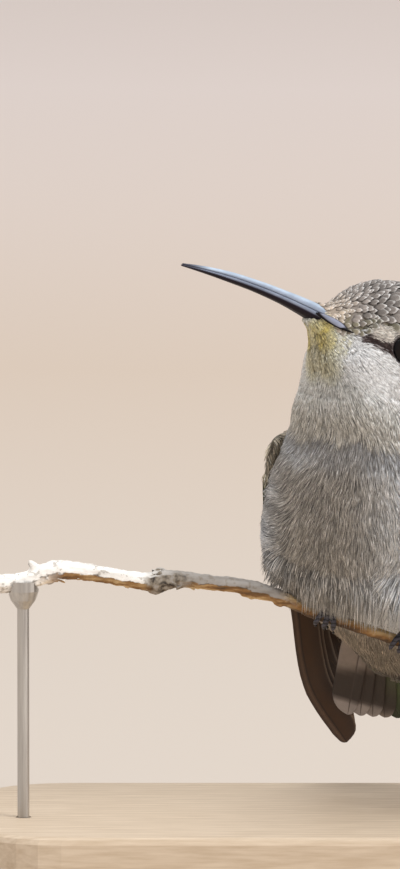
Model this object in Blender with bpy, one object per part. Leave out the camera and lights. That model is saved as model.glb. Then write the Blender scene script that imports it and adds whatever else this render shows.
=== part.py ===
"""A perched hummingbird, life size, as a still museum model: a female of the Costa's type on a short
cut twig, which two thin rods hold above a flat base. Shapes are worked out in millimetres and scaled to
metres as they are delivered. The frame is +Z up, with its origin under the middle of the base."""

import math

import bmesh
import bpy
from mathutils import Matrix, Vector

MM = 0.001
GAP = 0.2  # clearance between neighbouring solids

# Stand
BASE_LENGTH, BASE_DEPTH, BASE_HEIGHT = 62.0, 42.0, 4.5
BASE_CORNER, BASE_CORNER_FACETS, BASE_ROUND, BASE_ROUND_FACETS = 9.0, 6, 0.7, 2
ROD_RADIUS, ROD_FACETS, ROD_HOLE_DEPTH = 0.6, 16, 2.5
CRADLE_HEIGHT, CRADLE_WALL, CRADLE_WAIST = 1.8, 0.38, 0.8  # the waist is a share of the full radius
ROD_PLACES = {"left": -34.0, "right": 16.5}  # along X, from the perch point

# Perch: a point of the twig midway between the feet, from which the bird is laid out
PERCH = Vector((8.0, -4.0, 24.0))

# Posture. Yaw turns the facing direction from -Y towards -X; roll leans the body to its own left.
BODY_YAW, BODY_ROLL = 16.0, 9.0
HEAD_YAW, HEAD_PITCH = 58.0, 28.0
HEAD_CENTRE = Vector((1.1, -8.1, 28.9))  # between the eyes, from the perch point

# Flesh with its coat, as stations from the tail coverts over the neck to the crown, from the perch point.
# Each row: centre, yaw, pitch and roll of the axis, half width, and reach to the back and to the belly.
BODY_STATIONS = (
    ((3.75, 17.0, -6.9), 16.0, 42.0, 9.0, 2.6, 1.3, 1.5),
    ((3.3, 13.6, -3.5), 16.0, 42.0, 9.0, 5.2, 2.3, 2.8),
    ((2.95, 10.0, 0.4), 16.0, 42.0, 9.0, 9.0, 3.8, 4.8),
    ((2.2, 6.1, 4.8), 16.0, 45.0, 9.0, 11.5, 5.6, 6.9),
    ((1.4, 2.3, 9.0), 16.0, 50.0, 9.0, 11.6, 6.8, 8.6),
    ((1.1, -0.5, 12.8), 16.0, 57.0, 9.0, 11.0, 7.3, 9.1),
    ((1.1, -2.4, 16.1), 18.0, 64.0, 8.0, 10.1, 7.1, 9.0),
    ((1.3, -3.9, 19.2), 26.0, 70.0, 6.0, 9.2, 6.9, 8.7),
    ((1.2, -5.6, 22.2), 38.0, 78.0, 3.0, 8.0, 6.9, 7.7),
    ((1.0, -7.0, 25.1), 52.0, 82.0, 0.0, 7.0, 6.7, 6.7),
    ((1.0, -7.9, 28.0), 58.0, 86.0, 0.0, 6.4, 6.6, 6.3),
    ((1.2, -7.9, 30.8), 58.0, 90.0, 0.0, 5.9, 6.3, 5.9),
    ((1.7, -7.7, 33.0), 58.0, 90.0, 0.0, 4.9, 5.2, 4.6),
    ((2.0, -7.6, 34.3), 58.0, 90.0, 0.0, 3.4, 3.7, 3.1),
    ((2.2, -7.5, 34.9), 58.0, 90.0, 0.0, 1.5, 1.7, 1.3),
)
# Face, as stations along the head's own axis: forward, up, half width, and reach upwards and downwards
FACE_STATIONS = (
    (-3.4, -0.2, 4.6, 4.8, 4.6),
    (-1.6, -0.2, 6.0, 6.3, 6.0),
    (1.2, -0.3, 5.8, 6.6, 5.9),
    (3.0, -0.5, 5.0, 6.1, 5.4),
    (4.6, -0.7, 3.9, 5.0, 4.3),
    (6.0, -0.8, 2.75, 3.4, 3.1),
    (7.1, -0.7, 1.9, 1.9, 2.1),
    (8.1, -0.6, 1.25, 1.1, 1.3),
)
STATION_FACETS, RINGS_PER_STATION = 36, 3
BELLY_SQUARENESS = 2.3  # exponent of the lower half of a ring; 2 is an ellipse
FUSE_VOXEL, FUSE_SMOOTHING = 0.5, 12
BODY_TRIANGLES = 2600
# Cuts that part the trunk, the neck and the head: a point from the perch, and yaw and pitch of the normal
NECK_CUT = ((1.3, -4.6, 20.4), 30.0, 73.0)
HEAD_CUT = ((0.9, -7.4, 25.2), 56.0, 76.0)
PERCH_GROOVE, PERCH_GROOVE_SPOTS = 1.75, (-8.0, -4.0, 0.0, 4.0, 8.0)  # room for twig and toes under the belly

EYE_RADIUS, EYE_PLACE = 1.75, (0.0, 4.5, -0.35)
EYE_HOLLOW_RADIUS, EYE_HOLLOW_PLACE = 3.4, (0.2, 8.9, -0.3)  # the hollow that the eye looks out of

# Bill: it starts inside the face and droops evenly
BILL_START, BILL_LENGTH, BILL_DROOP = (6.7, -0.45), 17.6, 15.5
BILL_RINGS, BILL_FACETS, BILL_SEAM = 14, 6, 0.14
BILL_SIZES = ((0.0, 1.3, 0.92), (0.12, 1.05, 0.8), (0.3, 0.74, 0.6), (0.55, 0.52, 0.45), (0.85, 0.42, 0.38),
              (0.96, 0.3, 0.26), (1.0, 0.16, 0.14))  # share of the length, half width, half height
BILL_SOCKET = (0.3, 1.9)  # how far the socket reaches behind the bill's start and before it

# Folded wing in the body's frame: leading edge, trailing edge, and how far the chord bulges outwards
WING_STATIONS = (
    ((5.2, 10.8, 16.4), (2.8, 8.4, 17.7), 0.4),
    ((1.4, 11.2, 11.2), (-4.4, 5.2, 17.6), 1.6),
    ((-4.6, 11.6, 4.6), (-9.6, 3.0, 12.2), 1.9),
    ((-11.1, 10.7, -2.7), (-13.6, 2.4, 5.6), 1.4),
    ((-16.0, 10.3, -8.1), (-17.2, 4.4, -2.6), 0.8),
    ((-21.2, 9.5, -12.8), (-22.2, 6.2, -9.2), 0.4),
    ((-27.2, 7.0, -17.5), (-27.7, 6.1, -16.7), 0.1),
)
WING_THICKNESS, WING_CLEARING = 0.7, 3.2
WING_ROWS, WING_COLUMNS = 16, 5
WING_GROWTH_ALONG, WING_GROWTH_ACROSS = 0.12, 0.09  # in stations and in chords, for each millimetre grown

# Tail in the body's frame: a fan of ten feathers from under the coverts
TAIL_ROOT, TAIL_PITCH, TAIL_LENGTH = (-12.6, -2.4), 45.5, 15.4
TAIL_FEATHERS, TAIL_ROOT_WIDTH, TAIL_SPREAD, TAIL_THICKNESS = 10, 3.2, 12.0, 0.9
TAIL_TIP_ROUND, TAIL_TIP_HALF_WIDTH, TAIL_TIP_FACETS, TAIL_FORK = 0.9, 0.56, 4, 0.9

# Twig: points of its axis from the perch point, with its radius
TWIG_PATH = (
    (-39.0, -1.4, 3.8, 1.0), (-36.0, -1.3, 4.0, 0.98), (-33.3, -1.2, 4.4, 1.0), (-31.0, -1.0, 5.3, 1.08),
    (-29.0, -0.9, 5.3, 0.98), (-26.3, -0.8, 4.9, 0.9), (-22.4, -0.6, 4.25, 0.88), (-20.6, -0.5, 4.1, 1.2),
    (-18.6, -0.5, 4.4, 0.9), (-15.1, -0.4, 4.0, 0.84), (-12.3, -0.3, 3.7, 0.8), (-10.6, -0.2, 3.2, 0.92),
    (-8.8, -0.2, 2.75, 0.74), (-7.3, -0.1, 2.1, 0.72), (-5.0, 0.0, 1.0, 0.68), (-2.3, 0.0, 0.1, 0.65),
    (0.4, 0.0, -0.8, 0.64), (3.7, 0.0, -1.95, 0.62), (8.0, 0.1, -3.4, 0.6), (11.2, 0.2, -4.3, 0.76),
    (14.0, 0.3, -5.2, 0.56), (20.0, 0.6, -6.9, 0.52),
)
TWIG_FACETS, TWIG_RINGS = 10, 46
BUD_PLACE, BUD_LENGTH, BUD_LEAN, BUD_GIRTH = -32.2, 1.9, 0.7, (0.5, 0.6, 0.55, 0.52, 0.38, 0.17)

# Feet: place along X from the perch, and the toes' angles round the twig, from its top to the front
FEET = {"right": -3.6, "left": 3.9}
TOE_RADIUS, TOE_TIP, TOE_STEPS, TOE_CLEARANCE = 0.29, 0.13, 9, 0.16
FRONT_TOES = ((-0.95, 168.0), (0.0, 186.0), (0.95, 168.0))  # splay along the twig, last angle
HIND_TOE = (0.25, -150.0)
TARSUS_RADIUS, ANKLE_RADIUS = 0.46, 0.37
TARSUS_RISE = Vector((0.0, 2.1, 4.4))  # from the ankle up into the belly
LEG_FACETS, TOE_FACETS = 10, 8
LEG_VOXEL, LEG_TRIANGLES = 0.11, 480

COLOURS = {
    "feather_grey": ((0.30, 0.27, 0.24), 0.85, 0.0),
    "feather_green": ((0.16, 0.17, 0.10), 0.6, 0.0),
    "feather_dark": ((0.07, 0.05, 0.04), 0.6, 0.0),
    "bill": ((0.03, 0.03, 0.035), 0.35, 0.0),
    "eye": ((0.005, 0.004, 0.004), 0.05, 0.0),
    "foot": ((0.03, 0.028, 0.03), 0.6, 0.0),
    "twig": ((0.45, 0.33, 0.20), 0.8, 0.0),
    "stand_wood": ((0.62, 0.50, 0.38), 0.55, 0.0),
    "stand_metal": ((0.55, 0.54, 0.52), 0.35, 1.0),
}


def clear_scene():
    for obj in list(bpy.data.objects):
        bpy.data.objects.remove(obj, do_unlink=True)


def material(name):
    """The named material, made on first use."""
    found = bpy.data.materials.get(name)
    if found:
        return found
    colour, roughness, metallic = COLOURS[name]
    made = bpy.data.materials.new(name)
    made.use_nodes = True
    shader = made.node_tree.nodes["Principled BSDF"]
    shader.inputs["Base Color"].default_value = (*colour, 1.0)
    shader.inputs["Roughness"].default_value = roughness
    shader.inputs["Metallic"].default_value = metallic
    return made


def shape(name, bm):
    """A working object, in millimetres, from bm."""
    mesh = bpy.data.meshes.new(name)
    bm.to_mesh(mesh)
    bm.free()
    obj = bpy.data.objects.new(name, mesh)
    bpy.context.scene.collection.objects.link(obj)
    return obj


def evaluated_mesh(obj):
    """A new mesh: the object's own with its modifiers applied."""
    graph = bpy.context.evaluated_depsgraph_get()
    return bpy.data.meshes.new_from_object(obj.evaluated_get(graph))


def settle(obj):
    """Applies the object's modifiers."""
    obj.data = evaluated_mesh(obj)
    obj.modifiers.clear()
    return obj


def modify(obj, kind, **settings):
    """Adds a modifier with its settings."""
    modifier = obj.modifiers.new(kind.lower(), kind)
    for key, value in settings.items():
        setattr(modifier, key, value)
    return modifier


def combine(obj, others, operation="DIFFERENCE"):
    """Cuts the others from the object, or joins them to it."""
    for other in others:
        modify(obj, "BOOLEAN", object=other, operation=operation, solver="EXACT")
    return settle(obj)


def thinned(obj, triangles):
    """Brings the object down to about this many triangles."""
    count = sum(len(face.vertices) - 2 for face in evaluated_mesh(obj).polygons)
    modify(obj, "DECIMATE", ratio=triangles / count)
    return settle(obj)


def deliver(obj, finish, smooth_angle=50.0):
    """Turns a working object into a sub-part: metres, its material and its shading."""
    mesh = obj.data
    mesh.transform(Matrix.Scale(MM, 4))
    mesh.materials.clear()
    mesh.materials.append(material(finish))
    mesh.shade_smooth()
    mesh.set_sharp_from_angle(angle=math.radians(smooth_angle))
    return obj


def discard(*objects):
    for obj in objects:
        bpy.data.objects.remove(obj, do_unlink=True)


def facing(yaw, pitch=0.0, roll=0.0):
    """Rotation whose columns are forward, left and up, for angles in degrees."""
    yaw, pitch, roll = (math.radians(a) for a in (yaw, pitch, roll))
    ahead = Vector((-math.sin(yaw), -math.cos(yaw), 0.0))
    left = Vector((math.cos(yaw), -math.sin(yaw), 0.0))
    up = Vector((0.0, 0.0, 1.0))
    left, up = left * math.cos(roll) - up * math.sin(roll), up * math.cos(roll) + left * math.sin(roll)
    ahead, up = ahead * math.cos(pitch) + up * math.sin(pitch), up * math.cos(pitch) - ahead * math.sin(pitch)
    return Matrix((ahead, left, up)).transposed()


BODY = facing(BODY_YAW, 0.0, BODY_ROLL)
HEAD = facing(HEAD_YAW, HEAD_PITCH)


def in_body(forward, left, up):
    """A point of the trunk's frame, whose origin is the perch point."""
    return PERCH + BODY @ Vector((forward, left, up))


def in_head(forward, left, up):
    """A point of the head's frame, whose origin is midway between the eyes."""
    return PERCH + HEAD_CENTRE + HEAD @ Vector((forward, left, up))


def between(values, number):
    """Catmull-Rom value at a fractional place in a list."""
    last = len(values) - 1
    i = min(max(int(number), 0), last - 1)
    t = number - i
    a, b, c, d = (values[min(max(k, 0), last)] for k in (i - 1, i, i + 1, i + 2))
    return 0.5 * (2 * b + (c - a) * t + (2 * a - 5 * b + 4 * c - d) * t * t + (3 * b - a - 3 * c + d) * t**3)


def read_along(rows, values, place):
    """Straight-line value at a place in rows sorted by place."""
    for low, high, first, second in zip(rows, rows[1:], values, values[1:]):
        if place <= high:
            return first + (second - first) * (place - low) / (high - low)
    return values[-1]


def add_loft(bm, rings):
    """Adds a closed skin through rings of equal length, with flat ends."""
    rows = [[bm.verts.new(point) for point in ring] for ring in rings]
    count = len(rings[0])
    faces = [
        bm.faces.new((low[k], low[(k + 1) % count], high[(k + 1) % count], high[k]))
        for low, high in zip(rows, rows[1:])
        for k in range(count)
    ]
    faces += [bm.faces.new(rows[0][::-1]), bm.faces.new(rows[-1])]
    bmesh.ops.recalc_face_normals(bm, faces=faces)


def oval_ring(centre, rotation, half_width, above, below):
    """Points round an oval whose lower half is a little square."""
    left, up = rotation.col[1], rotation.col[2]
    ring = []
    for k in range(STATION_FACETS):
        turn = math.tau * k / STATION_FACETS
        across, rise = math.cos(turn), math.sin(turn)
        if rise < 0:
            across = math.copysign(abs(across) ** (2.0 / BELLY_SQUARENESS), across)
            rise = -(abs(rise) ** (2.0 / BELLY_SQUARENESS))
        ring.append(centre + left * (half_width * across) + up * ((above if rise > 0 else below) * rise))
    return ring


def station_numbers(stations):
    steps = (len(stations) - 1) * RINGS_PER_STATION
    return [k / RINGS_PER_STATION for k in range(steps + 1)]


def whole_body():
    """Head, neck and trunk fused into one rounded closed shape."""
    bm = bmesh.new()
    centres = [PERCH + Vector(row[0]) for row in BODY_STATIONS]
    rings = []
    for number in station_numbers(BODY_STATIONS):
        yaw, pitch, roll, *sizes = (between([row[k] for row in BODY_STATIONS], number) for k in range(1, 7))
        rings.append(oval_ring(between(centres, number), facing(yaw, pitch, roll), *sizes))
    add_loft(bm, rings)
    rings = []
    for number in station_numbers(FACE_STATIONS):
        forward, up, *sizes = (between([row[k] for row in FACE_STATIONS], number) for k in range(5))
        rings.append(oval_ring(in_head(forward, 0.0, up), HEAD, *sizes))
    add_loft(bm, rings)
    obj = shape("whole_body", bm)
    modify(obj, "REMESH", mode="VOXEL", voxel_size=FUSE_VOXEL)
    modify(obj, "SMOOTH", factor=0.5, iterations=FUSE_SMOOTHING)
    return thinned(settle(obj), BODY_TRIANGLES)


def parted(obj, name, cuts):
    """A copy of the shape between cutting planes; each cut is (plane, side), side 1 keeping the far side."""
    bm = bmesh.new()
    bm.from_mesh(obj.data)
    for (point, yaw, pitch), side in cuts:
        normal = facing(yaw, pitch).col[0]
        bmesh.ops.bisect_plane(
            bm,
            geom=bm.verts[:] + bm.edges[:] + bm.faces[:],
            plane_co=PERCH + Vector(point) + normal * (GAP / 2 * side),
            plane_no=normal,
            clear_inner=side > 0,
            clear_outer=side < 0,
        )
        bmesh.ops.holes_fill(bm, edges=[edge for edge in bm.edges if edge.is_boundary])
    return shape(name, bm)


def tube(name, points, radii, facets):
    """A closed tube along points, thick as the radii say."""
    bm = bmesh.new()
    rings = []
    side = None
    for k, (point, radius) in enumerate(zip(points, radii)):
        ahead = (points[min(k + 1, len(points) - 1)] - points[max(k - 1, 0)]).normalized()
        side = (side or ahead.orthogonal()) - ahead * (side or ahead.orthogonal()).dot(ahead)
        side.normalize()
        other = ahead.cross(side)
        turns = (math.tau * j / facets for j in range(facets))
        rings.append([point + (side * math.cos(t) + other * math.sin(t)) * radius for t in turns])
    add_loft(bm, rings)
    return shape(name, bm)


def twig_axis(number):
    """Point of the twig's axis and its radius at a fractional place in its path."""
    x, y, z, radius = (between([row[k] for row in TWIG_PATH], number) for k in range(4))
    return PERCH + Vector((x, y, z)), radius


def twig_at(x):
    """Point of the twig's axis, its direction and its radius where it passes x, from the perch point."""
    columns = list(zip(*TWIG_PATH))
    number = read_along(columns[0], range(len(TWIG_PATH)), x)
    point, radius = twig_axis(number)
    ahead = twig_axis(number + 0.2)[0] - twig_axis(number - 0.2)[0]
    return point, ahead.normalized(), radius


def make_twig(name="twig", grow=0.0, buds=True):
    numbers = [k * (len(TWIG_PATH) - 1) / (TWIG_RINGS - 1) for k in range(TWIG_RINGS)]
    spots = [twig_axis(number) for number in numbers]
    twig = tube(name, [spot[0] for spot in spots], [spot[1] + grow for spot in spots], TWIG_FACETS)
    if buds:
        root, ahead, radius = twig_at(BUD_PLACE)
        lean = (Vector((0.0, 0.0, 1.0)) - ahead * BUD_LEAN).normalized()
        points = [root + lean * (BUD_LENGTH * k / (len(BUD_GIRTH) - 1)) for k in range(len(BUD_GIRTH))]
        bud = tube("bud", points, BUD_GIRTH, TWIG_FACETS)
        combine(twig, [bud], "UNION")
        discard(bud)
    return twig


def toe_points(root, ahead, reach, last_angle, splay):
    """Points that wrap round the twig from its top to the last angle, drifting along it by the splay."""
    up = (Vector((0.0, 0.0, 1.0)) - ahead * ahead.z).normalized()
    front = ahead.cross(up) if ahead.cross(up).y < 0 else -ahead.cross(up)
    points = []
    for k in range(TOE_STEPS + 1):
        share = k / TOE_STEPS
        turn = math.radians(last_angle * share)
        drift = ahead * (splay * (1.0 - (1.0 - share) ** 2))
        points.append(root + drift + (up * math.cos(turn) + front * math.sin(turn)) * reach)
    return points


def make_leg(name, x, grow=0.0, only_tarsus=False):
    """Tarsus, three front toes and the hind toe, with their claws, fused into one solid."""
    root, ahead, radius = twig_at(x)
    reach = radius + TOE_RADIUS + TOE_CLEARANCE
    ankle = toe_points(root, ahead, reach, 0.0, 0.0)[0]
    shank = [ankle, ankle + TARSUS_RISE / 3, ankle + TARSUS_RISE]
    leg = tube(name, shank, [ANKLE_RADIUS + grow, TARSUS_RADIUS + grow, TARSUS_RADIUS + grow], LEG_FACETS)
    if only_tarsus:
        return leg
    toes = []
    for splay, last_angle in (*FRONT_TOES, HIND_TOE):
        points = toe_points(root, ahead, reach, last_angle, splay)
        girth = [TOE_RADIUS] * (TOE_STEPS - 1) + [(TOE_RADIUS + TOE_TIP) / 2, TOE_TIP]
        toes.append(tube("toe", points, girth, TOE_FACETS))
    combine(leg, toes, "UNION")
    discard(*toes)
    modify(leg, "REMESH", mode="VOXEL", voxel_size=LEG_VOXEL)
    return thinned(settle(leg), LEG_TRIANGLES)


def wing_point(number, chord, side):
    """A point of the folded wing's middle surface; chord runs from the leading edge, 0, to the trailing, 1."""
    lead = between([Vector(row[0]) for row in WING_STATIONS], number)
    trail = between([Vector(row[1]) for row in WING_STATIONS], number)
    bulge = between([row[2] for row in WING_STATIONS], number)
    along = between([Vector(row[0]) for row in WING_STATIONS], number + 0.1) - lead
    outward = along.cross(trail - lead).normalized()
    if outward.y < 0:
        outward.negate()
    point = lead.lerp(trail, chord) + outward * (bulge * 4.0 * chord * (1.0 - chord))
    return in_body(point.x, point.y * side, point.z)


def make_wing(name, side, grow=0.0, clearing=0.0):
    """One wing as a curved blade, or, with a clearing, the tool that makes room for it in the trunk."""
    bm = bmesh.new()
    last = len(WING_STATIONS) - 1
    rows = []
    for i in range(WING_ROWS + 1):
        number = -grow * WING_GROWTH_ALONG + (last + 2.0 * grow * WING_GROWTH_ALONG) * i / WING_ROWS
        margin = grow * WING_GROWTH_ACROSS
        chords = [-margin + (1.0 + 2.0 * margin) * j / WING_COLUMNS for j in range(WING_COLUMNS + 1)]
        rows.append([bm.verts.new(wing_point(number, chord, side)) for chord in chords])
    for low, high in zip(rows, rows[1:]):
        for j in range(WING_COLUMNS):
            bm.faces.new((low[j], low[j + 1], high[j + 1], high[j]))
    bmesh.ops.recalc_face_normals(bm, faces=bm.faces[:])
    bm.faces.ensure_lookup_table()
    middle = bm.faces[len(bm.faces) // 3]
    if middle.normal.dot(BODY.col[1] * side) < 0:
        bmesh.ops.reverse_faces(bm, faces=bm.faces[:])
    wing = shape(name, bm)
    inner = WING_THICKNESS / 2 + grow
    outer = WING_THICKNESS / 2 + grow + clearing
    thickness = inner + outer
    modify(wing, "SOLIDIFY", thickness=thickness, offset=(outer - inner) / thickness, use_even_offset=False)
    return settle(wing)


def make_tail(name="tail", grow=0.0):
    """A flat fan whose end is scalloped by the tips of its feathers."""
    lean = math.radians(TAIL_PITCH)
    along = Vector((-math.cos(lean), 0.0, -math.sin(lean)))
    above = Vector((-math.sin(lean), 0.0, math.cos(lean)))
    root = Vector((TAIL_ROOT[0], 0.0, TAIL_ROOT[1])) - along * grow
    outline = []
    for k in range(TAIL_FEATHERS):
        share = (k + 0.5) / TAIL_FEATHERS * 2.0 - 1.0
        angle = math.radians(TAIL_SPREAD * share)
        length = TAIL_LENGTH - TAIL_FORK * (1.0 - abs(share)) + grow
        ahead = along * math.cos(angle) + Vector((0.0, math.sin(angle), 0.0))
        across = Vector((0.0, math.cos(angle), 0.0)) - along * math.sin(angle)
        start = root + Vector((0.0, share * TAIL_ROOT_WIDTH, 0.0))
        for j in range(TAIL_TIP_FACETS + 1):
            turn = math.pi * (j / TAIL_TIP_FACETS - 0.5)
            tip = start + ahead * (length - TAIL_TIP_ROUND * (1.0 - math.cos(turn)))
            outline.append(tip + across * (TAIL_TIP_HALF_WIDTH * math.sin(turn)))
    corner = Vector((0.0, TAIL_ROOT_WIDTH + grow, 0.0))
    outline = [root - corner] + outline + [root + corner]
    half = above * (TAIL_THICKNESS / 2 + grow)
    bm = bmesh.new()
    rings = [[in_body(*(point + offset)) for point in outline] for offset in (-half, half)]
    add_loft(bm, rings)
    return shape(name, bm)


def bill_point(share, across, rise, grow=0.0):
    """A point of the bill at a share of its length, across and up in units of its half sizes."""
    shares, widths, heights = zip(*BILL_SIZES)
    width = read_along(shares, widths, share) + grow
    height = read_along(shares, heights, share) + grow
    bend = math.radians(BILL_DROOP)
    radius = BILL_LENGTH / bend
    turn = bend * share
    forward = BILL_START[0] + radius * math.sin(turn) + rise * height * math.sin(turn)
    up = BILL_START[1] - radius * (1.0 - math.cos(turn)) + rise * height * math.cos(turn)
    return in_head(forward, across * width, up)


def make_bill_half(name, upward):
    """The upper or the lower half of the bill, from its base to its tip."""
    bm = bmesh.new()
    rings = []
    for i in range(BILL_RINGS + 1):
        share = (i / BILL_RINGS) ** 1.15
        turns = [math.pi * j / BILL_FACETS for j in range(BILL_FACETS + 1)]
        ring = [bill_point(share, math.cos(t), math.sin(t) * upward) for t in turns]
        seam = HEAD.col[2] * (BILL_SEAM / 2 * upward)
        rings.append([point + seam for point in ring])
    add_loft(bm, rings)
    return shape(name, bm)


def make_bill_socket():
    bm = bmesh.new()
    rings = []
    for share in (-BILL_SOCKET[0] / BILL_LENGTH, BILL_SOCKET[1] / BILL_LENGTH):
        turns = [math.tau * j / (2 * BILL_FACETS) for j in range(2 * BILL_FACETS)]
        rings.append([bill_point(share, math.cos(t), math.sin(t), GAP + BILL_SEAM / 2) for t in turns])
    add_loft(bm, rings)
    return shape("bill_socket", bm)


def make_ball(name, centre, radius, facets=16):
    bm = bmesh.new()
    bmesh.ops.create_uvsphere(
        bm, u_segments=facets, v_segments=facets // 2, radius=radius, matrix=Matrix.Translation(centre)
    )
    return shape(name, bm)


def turned(name, centre, profile, facets):
    """A closed turned shape; the profile's rows are radius and height, from the bottom up."""
    bm = bmesh.new()
    rings = []
    for radius, height in profile:
        turns = (math.tau * j / facets for j in range(facets))
        rings.append([
            Vector((centre.x + radius * math.cos(t), centre.y + radius * math.sin(t), height)) for t in turns
        ])
    add_loft(bm, rings)
    return shape(name, bm)


def make_base():
    """A flat board with round corners and softened edges."""
    bm = bmesh.new()
    outline = []
    for quarter in range(4):
        for k in range(BASE_CORNER_FACETS + 1):
            turn = math.radians(90.0) * (quarter + k / BASE_CORNER_FACETS)
            x_side = 1 if quarter in (0, 3) else -1
            y_side = 1 if quarter in (0, 1) else -1
            outline.append((
                x_side * (BASE_LENGTH / 2 - BASE_CORNER) + BASE_CORNER * math.cos(turn),
                y_side * (BASE_DEPTH / 2 - BASE_CORNER) + BASE_CORNER * math.sin(turn),
            ))
    levels = [(0.0, BASE_ROUND / 2), (BASE_ROUND / 2, 0.0)]  # height, and how far the edge is drawn in
    for k in range(BASE_ROUND_FACETS + 1):
        turn = math.radians(90.0) * k / BASE_ROUND_FACETS
        levels.append((BASE_HEIGHT - BASE_ROUND * (1.0 - math.sin(turn)), BASE_ROUND * (1.0 - math.cos(turn))))
    rings = []
    for height, inset in levels:
        shrink = Vector((1.0 - 2.0 * inset / BASE_LENGTH, 1.0 - 2.0 * inset / BASE_DEPTH))
        rings.append([Vector((x * shrink.x, y * shrink.y, height)) for x, y in outline])
    add_loft(bm, rings)
    return shape("stand_base", bm)


def make_rod(name, x, room):
    """An upright rod from a hole in the base to a cradle in which the twig lies."""
    point, _, radius = twig_at(x)
    cradle = radius + GAP + CRADLE_WALL
    below = point.z - radius
    profile = [
        (ROD_RADIUS, BASE_HEIGHT - ROD_HOLE_DEPTH),
        (ROD_RADIUS, below - CRADLE_HEIGHT),
        (cradle * CRADLE_WAIST, below - CRADLE_HEIGHT / 2),
        (cradle, below),
        (cradle, point.z),
    ]
    return combine(turned(name, point, profile, ROD_FACETS), [room])


def main():
    clear_scene()

    twig_room = make_twig("twig_room", grow=GAP, buds=False)
    base = make_base()
    holes = []
    for side, x in ROD_PLACES.items():
        deliver(make_rod(f"stand_rod_{side}", x, twig_room), "stand_metal", 30.0)
        centre = twig_at(x)[0]
        profile = [(ROD_RADIUS + GAP, BASE_HEIGHT - ROD_HOLE_DEPTH - GAP), (ROD_RADIUS + GAP, BASE_HEIGHT + 1.0)]
        holes.append(turned("hole", centre, profile, ROD_FACETS))
    deliver(combine(base, holes), "stand_wood", 30.0)
    discard(twig_room, *holes)
    deliver(make_twig(), "twig")

    body = whole_body()
    trunk = parted(body, "trunk", [(NECK_CUT, -1)])
    neck = parted(body, "neck", [(NECK_CUT, 1), (HEAD_CUT, -1)])
    head = parted(body, "head", [(HEAD_CUT, 1)])
    discard(body)

    groove_spots = [twig_at(x)[0] for x in PERCH_GROOVE_SPOTS]
    groove = tube("groove", groove_spots, [PERCH_GROOVE] * len(groove_spots), STATION_FACETS // 2)
    rooms = [groove, make_tail("tail_room", grow=GAP)]
    for name, side in (("left", 1), ("right", -1)):
        rooms.append(make_wing("wing_room", side, GAP, WING_CLEARING))
        rooms.append(make_leg("leg_room", FEET[name], GAP, only_tarsus=True))
        deliver(make_wing(f"wing_{name}", side), "feather_dark")
        deliver(make_leg(f"leg_{name}", FEET[name]), "foot")
    deliver(combine(trunk, rooms), "feather_grey")
    deliver(neck, "feather_grey")
    discard(*rooms)
    deliver(make_tail(), "feather_dark", 30.0)

    sockets = [make_bill_socket()]
    for name, side in (("left", 1), ("right", -1)):
        centre, hollow = (in_head(x, y * side, z) for x, y, z in (EYE_PLACE, EYE_HOLLOW_PLACE))
        sockets.append(make_ball("eye_hollow", hollow, EYE_HOLLOW_RADIUS))
        sockets.append(make_ball("eye_room", centre, EYE_RADIUS + GAP))
        deliver(make_ball(f"eye_{name}", centre, EYE_RADIUS), "eye")
    deliver(combine(head, sockets), "feather_green")
    discard(*sockets)
    deliver(make_bill_half("bill_upper", 1), "bill", 40.0)
    deliver(make_bill_half("bill_lower", -1), "bill", 40.0)


main()
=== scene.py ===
import itertools
import math

import bpy
import numpy as np
from mathutils import Matrix, Vector
from mathutils.bvhtree import BVHTree


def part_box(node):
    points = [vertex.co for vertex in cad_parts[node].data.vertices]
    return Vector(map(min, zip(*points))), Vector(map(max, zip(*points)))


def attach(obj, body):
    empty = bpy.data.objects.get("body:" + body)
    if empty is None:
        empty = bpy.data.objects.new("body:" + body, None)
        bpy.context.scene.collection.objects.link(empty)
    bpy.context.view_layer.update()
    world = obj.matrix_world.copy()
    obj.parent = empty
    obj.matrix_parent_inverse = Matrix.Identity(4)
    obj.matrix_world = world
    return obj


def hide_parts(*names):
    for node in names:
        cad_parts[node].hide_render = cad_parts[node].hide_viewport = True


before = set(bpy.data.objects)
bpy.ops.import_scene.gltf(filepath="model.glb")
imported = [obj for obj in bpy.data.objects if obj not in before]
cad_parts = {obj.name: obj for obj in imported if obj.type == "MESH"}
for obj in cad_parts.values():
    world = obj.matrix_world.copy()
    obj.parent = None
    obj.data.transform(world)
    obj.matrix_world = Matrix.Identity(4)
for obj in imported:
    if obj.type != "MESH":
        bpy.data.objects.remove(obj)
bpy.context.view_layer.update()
mm = 0.001
perch = Vector((8.0, -4.0, 24.0)) * mm  # a point of the twig midway between the feet
print("frame loaded:", len(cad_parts), "nodes")


# Small helpers

def deselect():
    for obj in list(bpy.context.selected_objects):
        obj.select_set(False)


def takeUp(*objs):
    deselect()
    for obj in objs:
        obj.select_set(True)
    bpy.context.view_layer.objects.active = objs[0]


def applied(obj, kind, **settings):  # adds a modifier and applies it at once
    takeUp(obj)
    mod = obj.modifiers.new(kind.lower(), kind)
    for key, value in settings.items():
        setattr(mod, key, value)
    bpy.ops.object.modifier_apply(modifier=mod.name)
    return obj


def edited(obj, step, **settings):  # one edit-mode step on the whole of a mesh
    takeUp(obj)
    bpy.ops.object.mode_set(mode="EDIT")
    bpy.ops.mesh.select_all(action="SELECT")
    step(**settings)
    bpy.ops.object.mode_set(mode="OBJECT")
    return obj


def mergeDoubles(obj, distance=1e-6):
    return edited(obj, bpy.ops.mesh.remove_doubles, threshold=distance)


def flipFaces(obj):  # has the faces of a closed piece point outwards
    return edited(obj, bpy.ops.mesh.normals_make_consistent, inside=False)


def unwrap(obj):  # the map that the coat's colours are baked to
    edited(obj, bpy.ops.uv.smart_project, angle_limit=math.radians(66.0), island_margin=0.002)
    obj.data.uv_layers[0].name = "OFBake"
    return obj


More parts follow.
